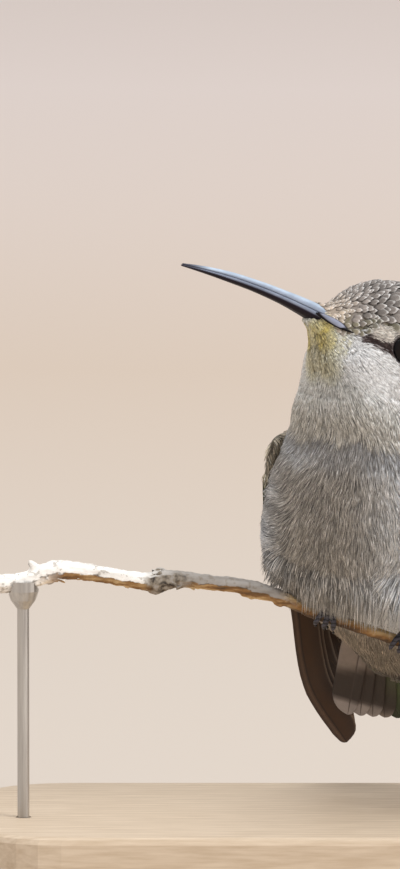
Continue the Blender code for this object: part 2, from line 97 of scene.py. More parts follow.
def copyNode(node, name):  # a welded copy of a CAD solid, to be worked up into a finished piece
    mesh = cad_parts[node].data.copy()
    mesh.materials.clear()
    made = bpy.data.objects.new(name, mesh)
    made.data.name = name
    bpy.context.scene.collection.objects.link(made)
    return mergeDoubles(made)


def settle(obj):  # the place goes into the mesh
    takeUp(obj)
    bpy.ops.object.transform_apply(location=True, rotation=True, scale=True)
    return obj


def joinAll(objs, name):
    takeUp(*objs)
    if len(objs) > 1:
        bpy.ops.object.join()
    objs[0].name = objs[0].data.name = name
    return objs[0]


def keep(obj, slot, paint, *nodes):  # a finished piece joins the model
    obj.data.materials.clear()
    obj.data.materials.append(paint)
    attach(obj, "root")
    if nodes:
        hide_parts(*nodes)
    return obj


def smoothShade(obj):
    obj.data.polygons.foreach_set("use_smooth", [True] * len(obj.data.polygons))
    return obj


def coords(mesh):
    found = np.empty(len(mesh.vertices) * 3)
    mesh.vertices.foreach_get("co", found)
    return found.reshape(-1, 3)


def setCoords(mesh, points):
    mesh.vertices.foreach_set("co", np.asarray(points).reshape(-1))
    mesh.update()


def vertexNormals(mesh):
    found = np.empty(len(mesh.vertices) * 3)
    mesh.vertex_normals.foreach_get("vector", found)
    return found.reshape(-1, 3)


def ball(name, around, rings):  # a unit sphere whose faces come in the same order each time
    deselect()
    bpy.ops.mesh.primitive_uv_sphere_add(segments=around, ring_count=rings, radius=1.0)
    made = bpy.context.object
    made.name = made.data.name = name
    points = coords(made.data).tolist()
    faces = []
    for face in made.data.polygons:
        ring = list(face.vertices)
        first = ring.index(min(ring))
        faces.append(ring[first:] + ring[:first])
    made.data.clear_geometry()
    made.data.from_pydata(points, [], sorted(faces))
    made.data.update()
    return made


def unit(a):
    return a / np.maximum(np.linalg.norm(a, axis=-1, keepdims=True), 1e-12)


def dot(a, b):
    return (a * b).sum(axis=-1, keepdims=True)


def ease(low, high, value):  # 0 before low, 1 past high, smooth between; low may be the larger
    t = np.clip((value - low) / (high - low), 0.0, 1.0)
    return t * t * (3.0 - 2.0 * t)


def srgb(r, g, b):  # a screen colour as linear light
    return tuple(c / 12.92 if c <= 0.04045 else ((c + 0.055) / 1.055) ** 2.4 for c in (r / 255, g / 255, b / 255))


def linear(colour):  # screen colours in an array as linear light
    return np.where(colour <= 0.04045, colour / 12.92, ((np.maximum(colour, 0) + 0.055) / 1.055) ** 2.4)


def tint(spec, key):  # a piece's screen colour, each part from 0 to 1
    return np.array(spec[key]) / 255.0


def mixed(first, second, share):
    return first * (1 - share) + second * share


# Shader maths as Python expressions

class Wire:
    def __init__(self, paint, out):
        self.paint, self.out = paint, out

    def step(self, kind, *values):
        return self.paint.node("ShaderNodeMath", {"operation": kind}, dict(enumerate(values)))

    def __add__(self, other):
        return self.step("ADD", self, other)

    def __radd__(self, other):
        return self.step("ADD", other, self)

    def __sub__(self, other):
        return self.step("SUBTRACT", self, other)

    def __rsub__(self, other):
        return self.step("SUBTRACT", other, self)

    def __mul__(self, other):
        return self.step("MULTIPLY", self, other)

    def __rmul__(self, other):
        return self.step("MULTIPLY", other, self)

    def __truediv__(self, other):
        return self.step("DIVIDE", self, other)

    def __pow__(self, other):
        return self.step("POWER", self, other)

    def __abs__(self):
        return self.step("ABSOLUTE", self)

    def sine(self):
        return self.step("SINE", self)


class Paint:
    def __init__(self, name, **sockets):
        self.material = bpy.data.materials.new(name)
        self.material.use_nodes = True
        self.tree = self.material.node_tree
        self.shader = self.tree.nodes["Principled BSDF"]
        for key, value in sockets.items():
            self.shader.inputs[key.replace("_", " ")].default_value = value

    def node(self, kind, settings=None, values=None, out=0):
        made = self.tree.nodes.new(kind)
        for key, value in (settings or {}).items():
            if key == "stops":
                while len(made.color_ramp.elements) < len(value):
                    made.color_ramp.elements.new(0.5)
                for stop, (place, colour) in zip(made.color_ramp.elements, value):
                    stop.position, stop.color = place, (*colour, 1.0)
            else:
                setattr(made, key, value)
        for key, value in (values or {}).items():
            if isinstance(value, Wire):
                self.tree.links.new(value.out, made.inputs[key])
            elif isinstance(value, tuple) and made.inputs[key].type == "RGBA":
                made.inputs[key].default_value = (*value, 1.0)
            else:
                made.inputs[key].default_value = value
        return Wire(self, made.outputs[out])

    def place(self):
        return self.node("ShaderNodeTexCoord", out="Object")

    def attribute(self, name, out="Color"):
        return self.node("ShaderNodeAttribute", {"attribute_name": name}, out=out)

    def noise(self, scale, detail=3.0, rough=0.55, vector=None):
        return self.node("ShaderNodeTexNoise", None, {"Vector": vector or self.place(), "Scale": scale,
                                                     "Detail": detail, "Roughness": rough}, "Fac")

    def blend(self, factor, first, second, kind="MIX"):
        return self.node("ShaderNodeMix", {"data_type": "RGBA", "blend_type": kind},
                         {"Factor": factor, 6: first, 7: second}, 2)

    def ramp(self, value, *stops, over=None):  # stops from 0 to 1, or over another range; a number is a grey
        stops = [(at, (shade, shade, shade) if isinstance(shade, float) else shade) for at, shade in stops]
        if over:
            low, high = over
            value = (value - low) / (high - low)
            stops = [((at - low) / (high - low), shade) for at, shade in stops]
        return self.node("ShaderNodeValToRGB", {"stops": stops}, {"Fac": value})

    def split(self, vector):
        parts = self.node("ShaderNodeSeparateXYZ", None, {"Vector": vector})
        return [Wire(self, out) for out in parts.out.node.outputs]

    def stretched(self, scale, turn=(0.0, 0.0, 0.0)):
        return self.node("ShaderNodeMapping", None, {"Vector": self.place(), "Scale": scale, "Rotation": turn})

    def feed(self, socket, value):
        self.tree.links.new(value.out, self.shader.inputs[socket])

    def bump(self, height, strength, depth):
        self.feed("Normal", self.node("ShaderNodeBump", None, {"Height": height, "Strength": strength,
                                                               "Distance": depth}))


# Camera, light and floor

view = {"elevation": 6.0, "distance": 1200.0, "lens": 497.1, "sensor": 36.0, "right": -16.3, "up": 18.75,
        "clip": (0.02, 20.0)}
studio = {
    "key": {"at": (1450, -950, 1050), "size": 1100, "power": 29.5, "colour": (0.95, 0.975, 1.0)},
    "sky": {"at": (-200, -120, 1500), "size": 1300, "power": 10.5, "colour": (0.92, 0.96, 1.0)},
    "room": (0.95, 0.93, 0.92), "roomStrength": 0.69,
}
floorSpec = {"radius": 6000.0, "rings": (0.4, 0.45, 0.5), "near": srgb(202, 190, 178), "mid": srgb(206, 189, 173),
             "far": srgb(224, 211, 204)}


def makeCamera():
    lift = math.radians(view["elevation"])
    up = Vector((0.0, math.sin(lift), math.cos(lift)))
    target = perch + (Vector((view["right"], 0.0, 0.0)) + up * view["up"]) * mm
    camera = bpy.data.objects.new("camera", bpy.data.cameras.new("camera"))
    bpy.context.scene.collection.objects.link(camera)
    camera.data.lens, camera.data.sensor_width = view["lens"], view["sensor"]
    camera.data.clip_start, camera.data.clip_end = view["clip"]
    camera.location = target - Vector((0.0, math.cos(lift), -math.sin(lift))) * view["distance"] * mm
    camera.rotation_euler = (math.radians(90.0) - lift, 0.0, 0.0)
    bpy.context.scene.camera = camera


def makeLights():
    for name in ("key", "sky"):
        spec = studio[name]
        lamp = bpy.data.lights.new(name, "AREA")
        lamp.shape, lamp.size, lamp.energy, lamp.color = "DISK", spec["size"] * mm, spec["power"], spec["colour"]
        obj = bpy.data.objects.new(name, lamp)
        bpy.context.scene.collection.objects.link(obj)
        obj.location = perch + Vector(spec["at"]) * mm
        obj.rotation_euler = (obj.location - perch).to_track_quat("Z", "Y").to_euler()
        obj.visible_camera = False
    world = bpy.data.worlds.new("room")
    bpy.context.scene.world = world
    world.use_nodes = True
    back = world.node_tree.nodes["Background"]
    back.inputs["Color"].default_value = (*studio["room"], 1.0)
    back.inputs["Strength"].default_value = studio["roomStrength"]
    bpy.context.scene.view_settings.view_transform = "Standard"


def makeFloor():
    deselect()
    bpy.ops.mesh.primitive_circle_add(vertices=96, radius=floorSpec["radius"] * mm, fill_type="NGON")
    floor = bpy.context.object
    floor.name = "floor"
    bpy.ops.object.mode_set(mode="EDIT")
    bpy.ops.mesh.select_all(action="SELECT")
    for share in floorSpec["rings"]:
        bpy.ops.mesh.inset(thickness=floorSpec["radius"] * mm * share * share)
    bpy.ops.object.mode_set(mode="OBJECT")
    paint = Paint("floor_paper", Roughness=0.95)
    paint.shader.inputs["Specular IOR Level"].default_value = 0.1
    x, y, _ = paint.split(paint.place())
    away = (x * x + y * y) ** 0.5 + (paint.noise(1.1, 1.0) - 0.5) * 0.5
    # painted light: the floor lighter far off, making up for the lamps' falloff
    paint.feed("Base Color", paint.ramp(away, (0.1, floorSpec["near"]), (0.45, floorSpec["mid"]),
                                        (1.0, floorSpec["far"])))
    floor.data.materials.append(paint.material)


makeCamera()
makeLights()
makeFloor()
print("studio ready")


# Posture: the trunk's and the head's own axes, as rows forward, left and up

def facing(yaw, pitch, roll):
    yaw, pitch, roll = (math.radians(a) for a in (yaw, pitch, roll))
    ahead = Vector((-math.sin(yaw), -math.cos(yaw), 0.0))
    left = Vector((math.cos(yaw), -math.sin(yaw), 0.0))
    up = Vector((0.0, 0.0, 1.0))
    left, up = left * math.cos(roll) - up * math.sin(roll), up * math.cos(roll) + left * math.sin(roll)
    ahead, up = ahead * math.cos(pitch) + up * math.sin(pitch), up * math.cos(pitch) - ahead * math.sin(pitch)
    return np.array([ahead, left, up])


def middle(node):
    low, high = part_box(node)
    return (low + high) / 2


bodyAxes = facing(16.0, 0.0, 9.0)
headAxes = facing(58.0, 28.0, 0.0)
perchAt = np.array(perch) / mm
eyeAt = {side: np.array(middle("eye_" + side)) / mm - perchAt for side in ("left", "right")}
headAt = (eyeAt["left"] + eyeAt["right"]) / 2 + headAxes[2] * 0.35  # from the perch, in millimetres
billAt = (6.7, -0.45)  # the bill's start in the head's frame, forward and up


def inHead(q):
    return (q - headAt) @ headAxes.T


def inBody(q):
    return q @ bodyAxes.T


def fromHead(forward, left, up):
    return headAt + np.array((forward, left, up)) @ headAxes


def fromBody(forward, left, up):
    return np.array((forward, left, up)) @ bodyAxes


def bothSides(h):  # places on the head, with its right side laid over its left
    return np.stack([h[:, 0], np.abs(h[:, 1]), h[:, 2]], axis=1)


def put(obj, spot, axes):  # a unit shape goes to a spot from the perch, with its own axes laid along these
    turned = (Matrix(axes).transposed() * mm).to_4x4()
    obj.data.transform(Matrix.Translation((Vector(spot) + Vector(perchAt)) * mm) @ turned)
    return flipFaces(obj)


def capsule(p, start, end, radius, soft):  # 1 near the line from start to end, fading out over soft
    start, end = np.array(start, float), np.array(end, float)
    line = end - start
    t = np.clip(((p - start) @ line) / max(line @ line, 1e-9), 0.0, 1.0)
    far = np.linalg.norm(p - start - t[:, None] * line, axis=1)
    return 1.0 - ease(radius, radius + soft, far)


# Plumage colours, from one function for skin and feathers

plumage = {
    "throat": (236, 238, 236), "throatLow": (206, 204, 198), "collar": (180, 183, 188), "collarShadow": (134, 134, 136),
    "breast": (165, 162, 158), "breastPaleBlue": (232, 238, 246), "belly": (178, 175, 171), "cheek": (255, 255, 255),
    "chinSoft": (228, 222, 188), "chin": (236, 216, 128), "chinDeep": (142, 132, 102), "lore": (58, 42, 39),
    "brow": (220, 212, 202), "crown": (218, 203, 192), "forehead": (250, 226, 202), "olive": (176, 168, 126),
    "ear": (188, 183, 180), "nape": (142, 140, 126), "back": (100, 112, 74), "rump": (106, 122, 84),
    "vent": (156, 146, 134), "flank": (190, 190, 192),
}
# painted light on the flank's tufts and painted shade between them: height over the perch, half width and how much
# lighter or darker
flankLitAndShaded = ((13.4, 0.4, 0.2), (12.4, 0.4, -0.22), (11.3, 0.4, 0.16), (8.2, 0.6, 0.18), (9.4, 0.5, -0.1))
# on the upper side: from which height over the perch, and where in full
upperBands = (("back", 21.0, 14.0), ("rump", 6.0, 1.0), ("crown", 22.0, 25.0))
# colour, from and to in the head's frame on its left side, half width, soft edge, strength and pattern
cheekMarks = (
    ("ear", (-2.8, 5.4, -1.6), (-4.2, 4.8, -3.8), 1.0, 2.0, 1.0, "plain"),
    ("cheek", (4.2, 4.0, -2.8), (0.4, 5.8, -3.6), 1.0, 2.4, 1.0, "plain"),
    ("chinSoft", (7.2, 1.2, -2.0), (5.4, 1.3, -4.6), 0.6, 2.0, 0.7, "plain"),
    ("chin", (7.5, 1.1, -1.5), (6.8, 1.3, -2.6), 0.4, 1.15, 0.9, "streak"),
    ("chin", (5.6, 3.0, -1.9), (5.4, 2.9, -2.6), 0.2, 0.9, 0.35, "fleck"),
    ("chinDeep", (6.7, 0.9, -2.4), (5.4, 0.9, -4.8), 0.2, 1.1, 0.65, "fleck"),
)
eyeMarks = (
    ("brow", (3.7, 4.75, -0.15), (1.6, 5.7, 0.4), 0.66, 0.4, 1.0, "plain"),
    ("brow", (1.6, 5.7, 0.5), (-2.4, 5.6, 1.1), 0.4, 0.5, 0.85, "plain"),
    ("lore", (4.4, 4.2, -1.05), (1.6, 5.8, -1.0), 0.26, 0.35, 1.0, "plain"),
    ("lore", (5.1, 3.5, -1.1), (4.3, 4.25, -1.1), 0.1, 0.3, 0.85, "plain"),
    ("lore", (0.0, 5.2, -0.35), (0.0, 5.4, -0.35), 1.5, 0.4, 1.0, "plain"),
    ("lore", (-1.0, 5.4, -0.7), (-2.6, 5.4, -1.1), 0.2, 0.8, 0.7, "plain"),
)


def over(base, name, mask, share=1.0):  # one plumage colour laid over the others
    mask = (np.clip(mask, 0.0, 1.0) * share)[:, None]
    return mixed(base, tint(plumage, name), mask)


def marked(shade, h, marks, patterns):
    for name, start, end, radius, soft, share, pattern in marks:
        shade = over(shade, name, capsule(bothSides(h), start, end, radius, soft) * patterns[pattern], share)
    return shade


def dorsal(q, n):  # how far a place belongs to the upper side, 0 to 1
    h = inHead(q)
    line = np.where(h[:, 0] > 0, 1.5 - 0.34 * h[:, 0], 1.5 + 1.1 * h[:, 0])
    line = line - 0.8 * ease(3.9, 4.8, h[:, 0]) * ease(6.8, 6.0, h[:, 0]) + 0.9 * ease(6.8, 7.6, h[:, 0])
    line = line + 0.35 * ease(0.5, 1.5, h[:, 0]) * ease(4.6, 3.9, h[:, 0])
    top = ease(-0.12, 0.12, h[:, 2] - line)
    axis = np.stack([1.2 + (16.1 - q[:, 2]) * 0.1, -2.4 + (16.1 - q[:, 2]) * 0.84, q[:, 2]], axis=1)
    spine = unit(-bodyAxes[0] * 0.92 + bodyAxes[2] * 0.4)
    trunk = ease(0.12, 0.3, n @ spine + 0.25 * ease(4.0, 0.0, q[:, 2])) * ease(0.0, 1.2, (q - axis) @ spine)
    return mixed(trunk, top, ease(21.0, 23.5, q[:, 2]))


def markings(q, n):
    h, b, z = inHead(q), inBody(q), q[:, 2]
    shade = np.repeat([tint(plumage, "breast")], len(q), axis=0)
    shade = over(shade, "belly", ease(7.0, 2.5, z))
    # painted light: the bird's left side of the breast, towards the key light, paler and bluer
    shade = over(shade, "breastPaleBlue", ease(-2.5, 4.5, q[:, 0]) * ease(-0.2, 0.4, -n[:, 1]), 0.85)
    shade = over(shade, "flank", ease(0.55, 0.9, np.abs(b[:, 1] + 0.7) / 11.0) * ease(19.0, 15.0, z))
    flank = ease(0.5, 0.75, np.abs(b[:, 1] + 0.7) / 11.0)
    # painted light and shade in bands across the flank
    for height, width, gain in flankLitAndShaded:
        shade = shade * (1.0 + gain * flank * np.exp(-((z + 0.12 * q[:, 0] + 1.0 - height) / width) ** 2))[:, None]
    shade = over(shade, "vent", ease(2.0, -1.0, z) * ease(2.0, 5.0, q[:, 1]))
    cloud = np.sin(q[:, 0] * 2.6 + np.sin(z * 0.7) * 2.0) * np.sin(z * 1.1 + np.sin(q[:, 0] * 1.3) * 1.7)
    shade = shade * (1.0 + 0.07 * cloud * ease(21.0, 17.0, z))[:, None]
    drop = ease(-1.5, 3.0, q[:, 0])  # the throat's lower edge slopes down to the bird's left
    wave = 0.25 * np.sin(q[:, 0] * 1.9) + 0.15 * np.sin(q[:, 0] * 4.3 + 1.0) + 0.9 * drop
    shade = over(shade, "collar", ease(16.8, 18.8, z + wave), 0.7)
    shade = over(shade, "breastPaleBlue", np.exp(-((q[:, 0] + 5.8) / 2.0) ** 2 - ((z + wave - 18.5) / 1.2) ** 2), 0.6)
    # a painted shadow line under the throat feathers' lower edge
    shade = over(shade, "collarShadow", ease(0.5, 0.0, np.abs(z + wave - 20.1)), 0.5)
    shade = over(shade, "throatLow", ease(20.0, 20.7, z + wave))
    shade = over(shade, "throat", ease(21.5, 26.0, z + 1.6 * drop))
    streak = 0.5 + 0.5 * np.sin(h[:, 1] * 6.3 + np.sin(h[:, 2] * 1.7) * 1.6 + np.sin(q[:, 2] * 5.0) * 0.7)
    fleck = 0.5 + 0.5 * np.sin(h[:, 1] * 9.7 + 2.0 + np.sin(h[:, 0] * 2.9) * 1.9)
    patterns = {"plain": 1.0, "streak": 0.4 + 0.6 * streak, "fleck": fleck}
    shade = marked(shade, h, cheekMarks, patterns)
    upper = dorsal(q, n)
    shade = over(shade, "nape", upper)
    for name, start, full in upperBands:
        shade = over(shade, name, upper * ease(start, full, z))
    shade = over(shade, "forehead", upper * ease(5.2, 7.0, h[:, 0] + 0.5 * fleck))
    shade = over(shade, "olive", upper * ease(1.6, 0.3, h[:, 2] - 1.5 + 0.34 * h[:, 0]) *
                 ease(7.0, 5.6, h[:, 0]) * fleck, 0.7)
    return marked(shade, h, eyeMarks, patterns)


def coatDepth(q):  # how deep the skin lies under the feather tips, in millimetres
    h = inHead(q)
    depth = 0.34 + 0.24 * ease(25.0, 18.0, q[:, 2])
    depth = depth * (1.0 - 0.55 * ease(4.0, 7.0, h[:, 0]))
    return depth * (1.0 - 0.5 * capsule(bothSides(h), (0.0, 5.0, -0.35), (0.0, 6.0, -0.35), 1.6, 1.2))


# Skin: one surface from the bill to the tail, under the feathers

skinSpec = {"close": 0.17, "voxel": 0.27, "smoothing": 6, "baseAndShadeShare": 0.62,
            "seats": (((6.75, 0.0, 0.15), (1.95, 1.35, 0.95)), ((6.8, 0.0, -1.35), (2.2, 1.4, 0.85)))}


def swell(q, n):  # where the feathers stand out further than the solids
    h = inHead(q)
    ahead = n @ np.array((-0.95, -0.3, 0.0))
    throat = ease(19.8, 22.6, q[:, 2]) * ease(29.5, 27.0, q[:, 2]) * ease(-0.1, 0.6, ahead)
    brow = capsule(h, (6.4, 0.0, 1.0), (4.6, 0.0, 2.6), 0.8, 1.8)
    flank = ease(5.0, 8.5, np.abs(q[:, 0] + 0.5)) * ease(12.0, 6.0, q[:, 2]) * ease(-1.0, 2.5, q[:, 2])
    return 0.55 * throat - 0.3 * brow + 0.55 * flank


def billSeat(centre, size):  # flesh under the feathers that reach out along the bill
    axes = [Vector(axis) * scale for axis, scale in zip(headAxes, size)]
    return put(ball("bill_seat", 32, 20), fromHead(*centre), axes)


def makeSkin():
    parts = [copyNode(node, "skin_" + node) for node in ("trunk", "neck", "head")]
    skin = joinAll(parts + [billSeat(*seat) for seat in skinSpec["seats"]], "skin")
    mergeDoubles(skin)
    applied(skin, "DISPLACE", strength=skinSpec["close"] * mm, mid_level=0.0)
    applied(skin, "REMESH", mode="VOXEL", voxel_size=skinSpec["voxel"] * mm, use_smooth_shade=True)
    applied(skin, "SMOOTH", factor=0.5, iterations=skinSpec["smoothing"])
    points, normals = coords(skin.data), vertexNormals(skin.data)
    q = points / mm - perchAt
    sunk = skinSpec["close"] + coatDepth(q) - swell(q, normals)
    setCoords(skin.data, points - normals * sunk[:, None] * mm)
    return smoothShade(unwrap(skin))


def paintPoints(mesh, shades):  # linear colours, one for each vertex
    layer = mesh.color_attributes.new("marking", "FLOAT_COLOR", "POINT")
    layer.data.foreach_set("color", np.concatenate([shades, np.ones((len(shades), 1))], axis=1).reshape(-1))


class Ground:  # the skin as arrays, with a way to find the nearest place on it
    def __init__(self, obj):
        mesh = obj.data
        self.points, self.normals = coords(mesh), vertexNormals(mesh)
        corners = np.empty(len(mesh.loops), np.int32)
        mesh.loops.foreach_get("vertex_index", corners)
        uv = np.empty(len(mesh.loops) * 2)
        mesh.uv_layers["OFBake"].uv.foreach_get("vector", uv)
        uv = uv.reshape(-1, 2)
        starts = np.array([face.loop_start for face in mesh.polygons])
        totals = np.array([face.loop_total for face in mesh.polygons])
        ring = starts[:, None] + np.minimum(np.arange(4)[None, :], totals[:, None] - 1)
        self.faces, self.uv = corners[ring], uv[ring]
        self.areas = np.array([face.area for face in mesh.polygons])
        self.tree = BVHTree.FromPolygons(self.points.tolist(), self.faces.tolist() if totals.min() > 3 else
                                         [list(face.vertices) for face in mesh.polygons])

    def scatter(self, count, seed):
        rng = np.random.default_rng(seed)
        pick = rng.choice(len(self.areas), count, p=self.areas / self.areas.sum())
        s, t = rng.random((2, count, 1))
        weights = [(1 - s) * (1 - t), s * (1 - t), s * t, (1 - s) * t]
        faces = self.faces[pick]
        point = sum(w * self.points[faces[:, k]] for k, w in enumerate(weights))
        normal = unit(sum(w * self.normals[faces[:, k]] for k, w in enumerate(weights)))
        place = sum(w * self.uv[pick, k] for k, w in enumerate(weights))
        return point, normal, place

    def nearest(self, points, normals, reach):  # stays where it is if the skin is further off than reach
        found, turned = points.copy(), normals.copy()
        for k, point in enumerate(points.tolist()):
            spot, _, face, far = self.tree.find_nearest(point)
            if far < reach:
                found[k] = spot
                turned[k] = self.normals[self.faces[face]].sum(axis=0)
        return found, unit(turned)


def thinOut(points, spacing):  # which points to keep so that none lies nearer to another than its spacing
    size = float(spacing.max())
    cells, kept = {}, []
    for k, (p, gap) in enumerate(zip(points.tolist(), spacing.tolist())):
        cell = [math.floor(c / size) for c in p]
        around = itertools.product(*((c - 1, c, c + 1) for c in cell))
        if all((o[0] - p[0]) ** 2 + (o[1] - p[1]) ** 2 + (o[2] - p[2]) ** 2 >= gap * gap
               for spot in around for o in cells.get(spot, ())):
            cells.setdefault(tuple(cell), []).append(p)
            kept.append(k)
    return np.array(kept)


# Lie of the feathers: away from the bill on the head, towards the tail on the trunk

lieSpec = {"part": 0.52, "sweep": 1.0, "out": 2.2, "whorl": 0.75, "wander": 0.12}


def flow(q, n):
    h, b, z = inHead(q), inBody(q), q[:, 2]
    out = unit(q - fromHead(9.6, 0.0, -0.5))
    behind = ease(2.0, -4.0, h[:, 0])[:, None]
    head = out * (1.0 - 0.4 * behind) + np.array((0.1, 0.1, -1.0)) * behind
    side = ((b[:, 1] + 0.7) / 11.0)[:, None]
    tail = np.array((0.06, 0.62, -0.78))
    sweep = ease(0.5, 0.92, np.abs(side[:, 0])) * ease(17.5, 12.5, z) * ease(0.5, 4.5, z)
    body = tail + bodyAxes[1] * side * (lieSpec["part"] + lieSpec["out"] * sweep[:, None])
    body = body - bodyAxes[0] * (sweep * lieSpec["sweep"])[:, None]
    whorl = np.exp(-((q[:, 0] - 3.2) / 1.5) ** 2 - ((z - 6.2) / 2.4) ** 2) * (n[:, 1] < 0)
    body = body - bodyAxes[1] * (whorl * lieSpec["whorl"])[:, None]
    share = ease(17.5, 23.0, z)[:, None]
    way = mixed(body, head, share)
    way = unit(way - n * dot(way, n))
    wander = lieSpec["wander"] * (np.sin(q[:, 0] * 1.7 + np.sin(z * 0.9) * 2.0) + np.sin(z * 1.3 + q[:, 0] * 0.8))
    return turnIn(way, n, wander)


def turnIn(way, n, angle):  # turns directions round their normals
    return way * np.cos(angle)[:, None] + np.cross(n, way) * np.sin(angle)[:, None]


spineReach = 2.2  # millimetres that a feather's line may be off the skin and still follow it


def spines(ground, points, normals, length, spec, seed):
    # each feather's line: root, middle and tip over the skin, with the normal at each
    rng = np.random.default_rng(seed)
    angle = rng.normal(0.0, spec["jitter"], len(points))
    course, half = spec.get("flow", flow), (length / 2 * mm)[:, None]
    way = turnIn(course(points / mm - perchAt, normals), normals, angle)
    if "hang" in spec:  # these leave the skin and hang
        drop, free = spec["hang"](points / mm - perchAt)
        drop = unit(drop + rng.normal(0.0, 0.07, (len(points), 3)))
        mid, midNormal = ground.nearest(points + way * half, normals, spineReach * mm)
        mid = mid + (points + unit(way * 0.5 + drop) * half - mid) * free
        tip, _ = ground.nearest(mid + way * half, midNormal, spineReach * mm)
        tip = tip + (mid + unit(way * 0.12 + drop) * half - tip) * free
        front = unit(np.array((0.0, -1.0, 0.0)) * free + normals * (1.4 - free))
        return np.stack([points, mid, tip], axis=1), np.stack([front] * 3, axis=1)
    mid, midNormal = ground.nearest(points + way * half, normals, spineReach * mm)
    way = turnIn(course(mid / mm - perchAt, midNormal), midNormal, angle)
    tip, tipNormal = ground.nearest(mid + way * half, midNormal, spineReach * mm)
    return np.stack([points, mid, tip], axis=1), np.stack([normals, midNormal, tipNormal], axis=1)


def alongSpine(line, normals, t):  # point, direction and normal at t for each feather; t is (feathers, places)
    t = t[..., None]
    a, b, c = (line[:, None, k] for k in range(3))
    point = a * (2 * t * t - 3 * t + 1) + b * (4 * t - 4 * t * t) + c * (2 * t * t - t)
    way = unit(a * (4 * t - 3) + b * (4 - 8 * t) + c * (4 * t - 1))
    first, second, third = (normals[:, None, k] for k in range(3))
    n = unit(first * (1 - t) ** 2 + second * 2 * t * (1 - t) + third * t * t)
    return point, way, unit(n - way * dot(n, way))


def layMesh(name, points, faces, shades, places, vanes):
    # one mesh of many like shapes: points (shapes, vertices, 3), faces of one shape, and each vertex's colour
    # (linear), its place on the skin's unwrap, and its place on the vane
    count, size = points.shape[:2]
    corner = np.array([v for face in faces for v in face])
    totals = np.tile([len(face) for face in faces], count)
    loops = (corner[None, :] + np.arange(count)[:, None] * size).reshape(-1).astype(np.int32)
    mesh = bpy.data.meshes.new(name)
    mesh.vertices.add(count * size)
    mesh.vertices.foreach_set("co", points.reshape(-1))
    mesh.loops.add(len(loops))
    mesh.loops.foreach_set("vertex_index", loops)
    mesh.polygons.add(len(totals))
    mesh.polygons.foreach_set("loop_start", np.concatenate([[0], np.cumsum(totals)[:-1]]).astype(np.int32))
    mesh.polygons.foreach_set("use_smooth", np.ones(len(totals), bool))
    for layer, values in (("OFBake", places), ("vane", vanes)):
        mesh.uv_layers.new(name=layer).uv.foreach_set("vector", values.reshape(-1, 2)[loops].reshape(-1))
    paintPoints(mesh, shades.reshape(-1, 3))
    mesh.update(calc_edges=True)
    obj = bpy.data.objects.new(name, mesh)
    bpy.context.scene.collection.objects.link(obj)
    return obj


mostTriangles = 190000  # in one piece


def trianglesOf(faces):
    return sum(len(face) - 2 for face in faces)


def patches(place, across, along):  # each tuft's own patch of the unwrap
    spot = np.stack([across, along], axis=-1) * 0.003 - 0.0015
    return place.reshape(place.shape[0], *([1] * (spot.ndim - 2)), 2) + spot


coatTotal = [0]


def layCoat(name, slot, paint, points, faces, shades, places, vanes):
    room = mostTriangles // trianglesOf(faces)
    pieces = max(1, math.ceil(len(points) / room))
    coatTotal[0] += len(points) * trianglesOf(faces)
    for k in range(pieces):
        part = slice(len(points) * k // pieces, len(points) * (k + 1) // pieces)
        label = name if pieces == 1 else f"{name}_{k + 1}"
        keep(layMesh(label, points[part], faces, shades[part], places[part], vanes[part]), slot, paint)
    print(f"{name}: {len(points)} shapes in {pieces} pieces, {len(points) * trianglesOf(faces)} triangles")


# Barbs: fine tapering slips, three-sided and closed, a few to a tuft

# two rings of three corners, at the root and half way, and the tip
barbFaces = [(1, 4, 5, 2), (0, 2, 5, 3), (0, 3, 4, 1), (4, 6, 5), (5, 6, 3), (3, 6, 4), (0, 1, 2)]


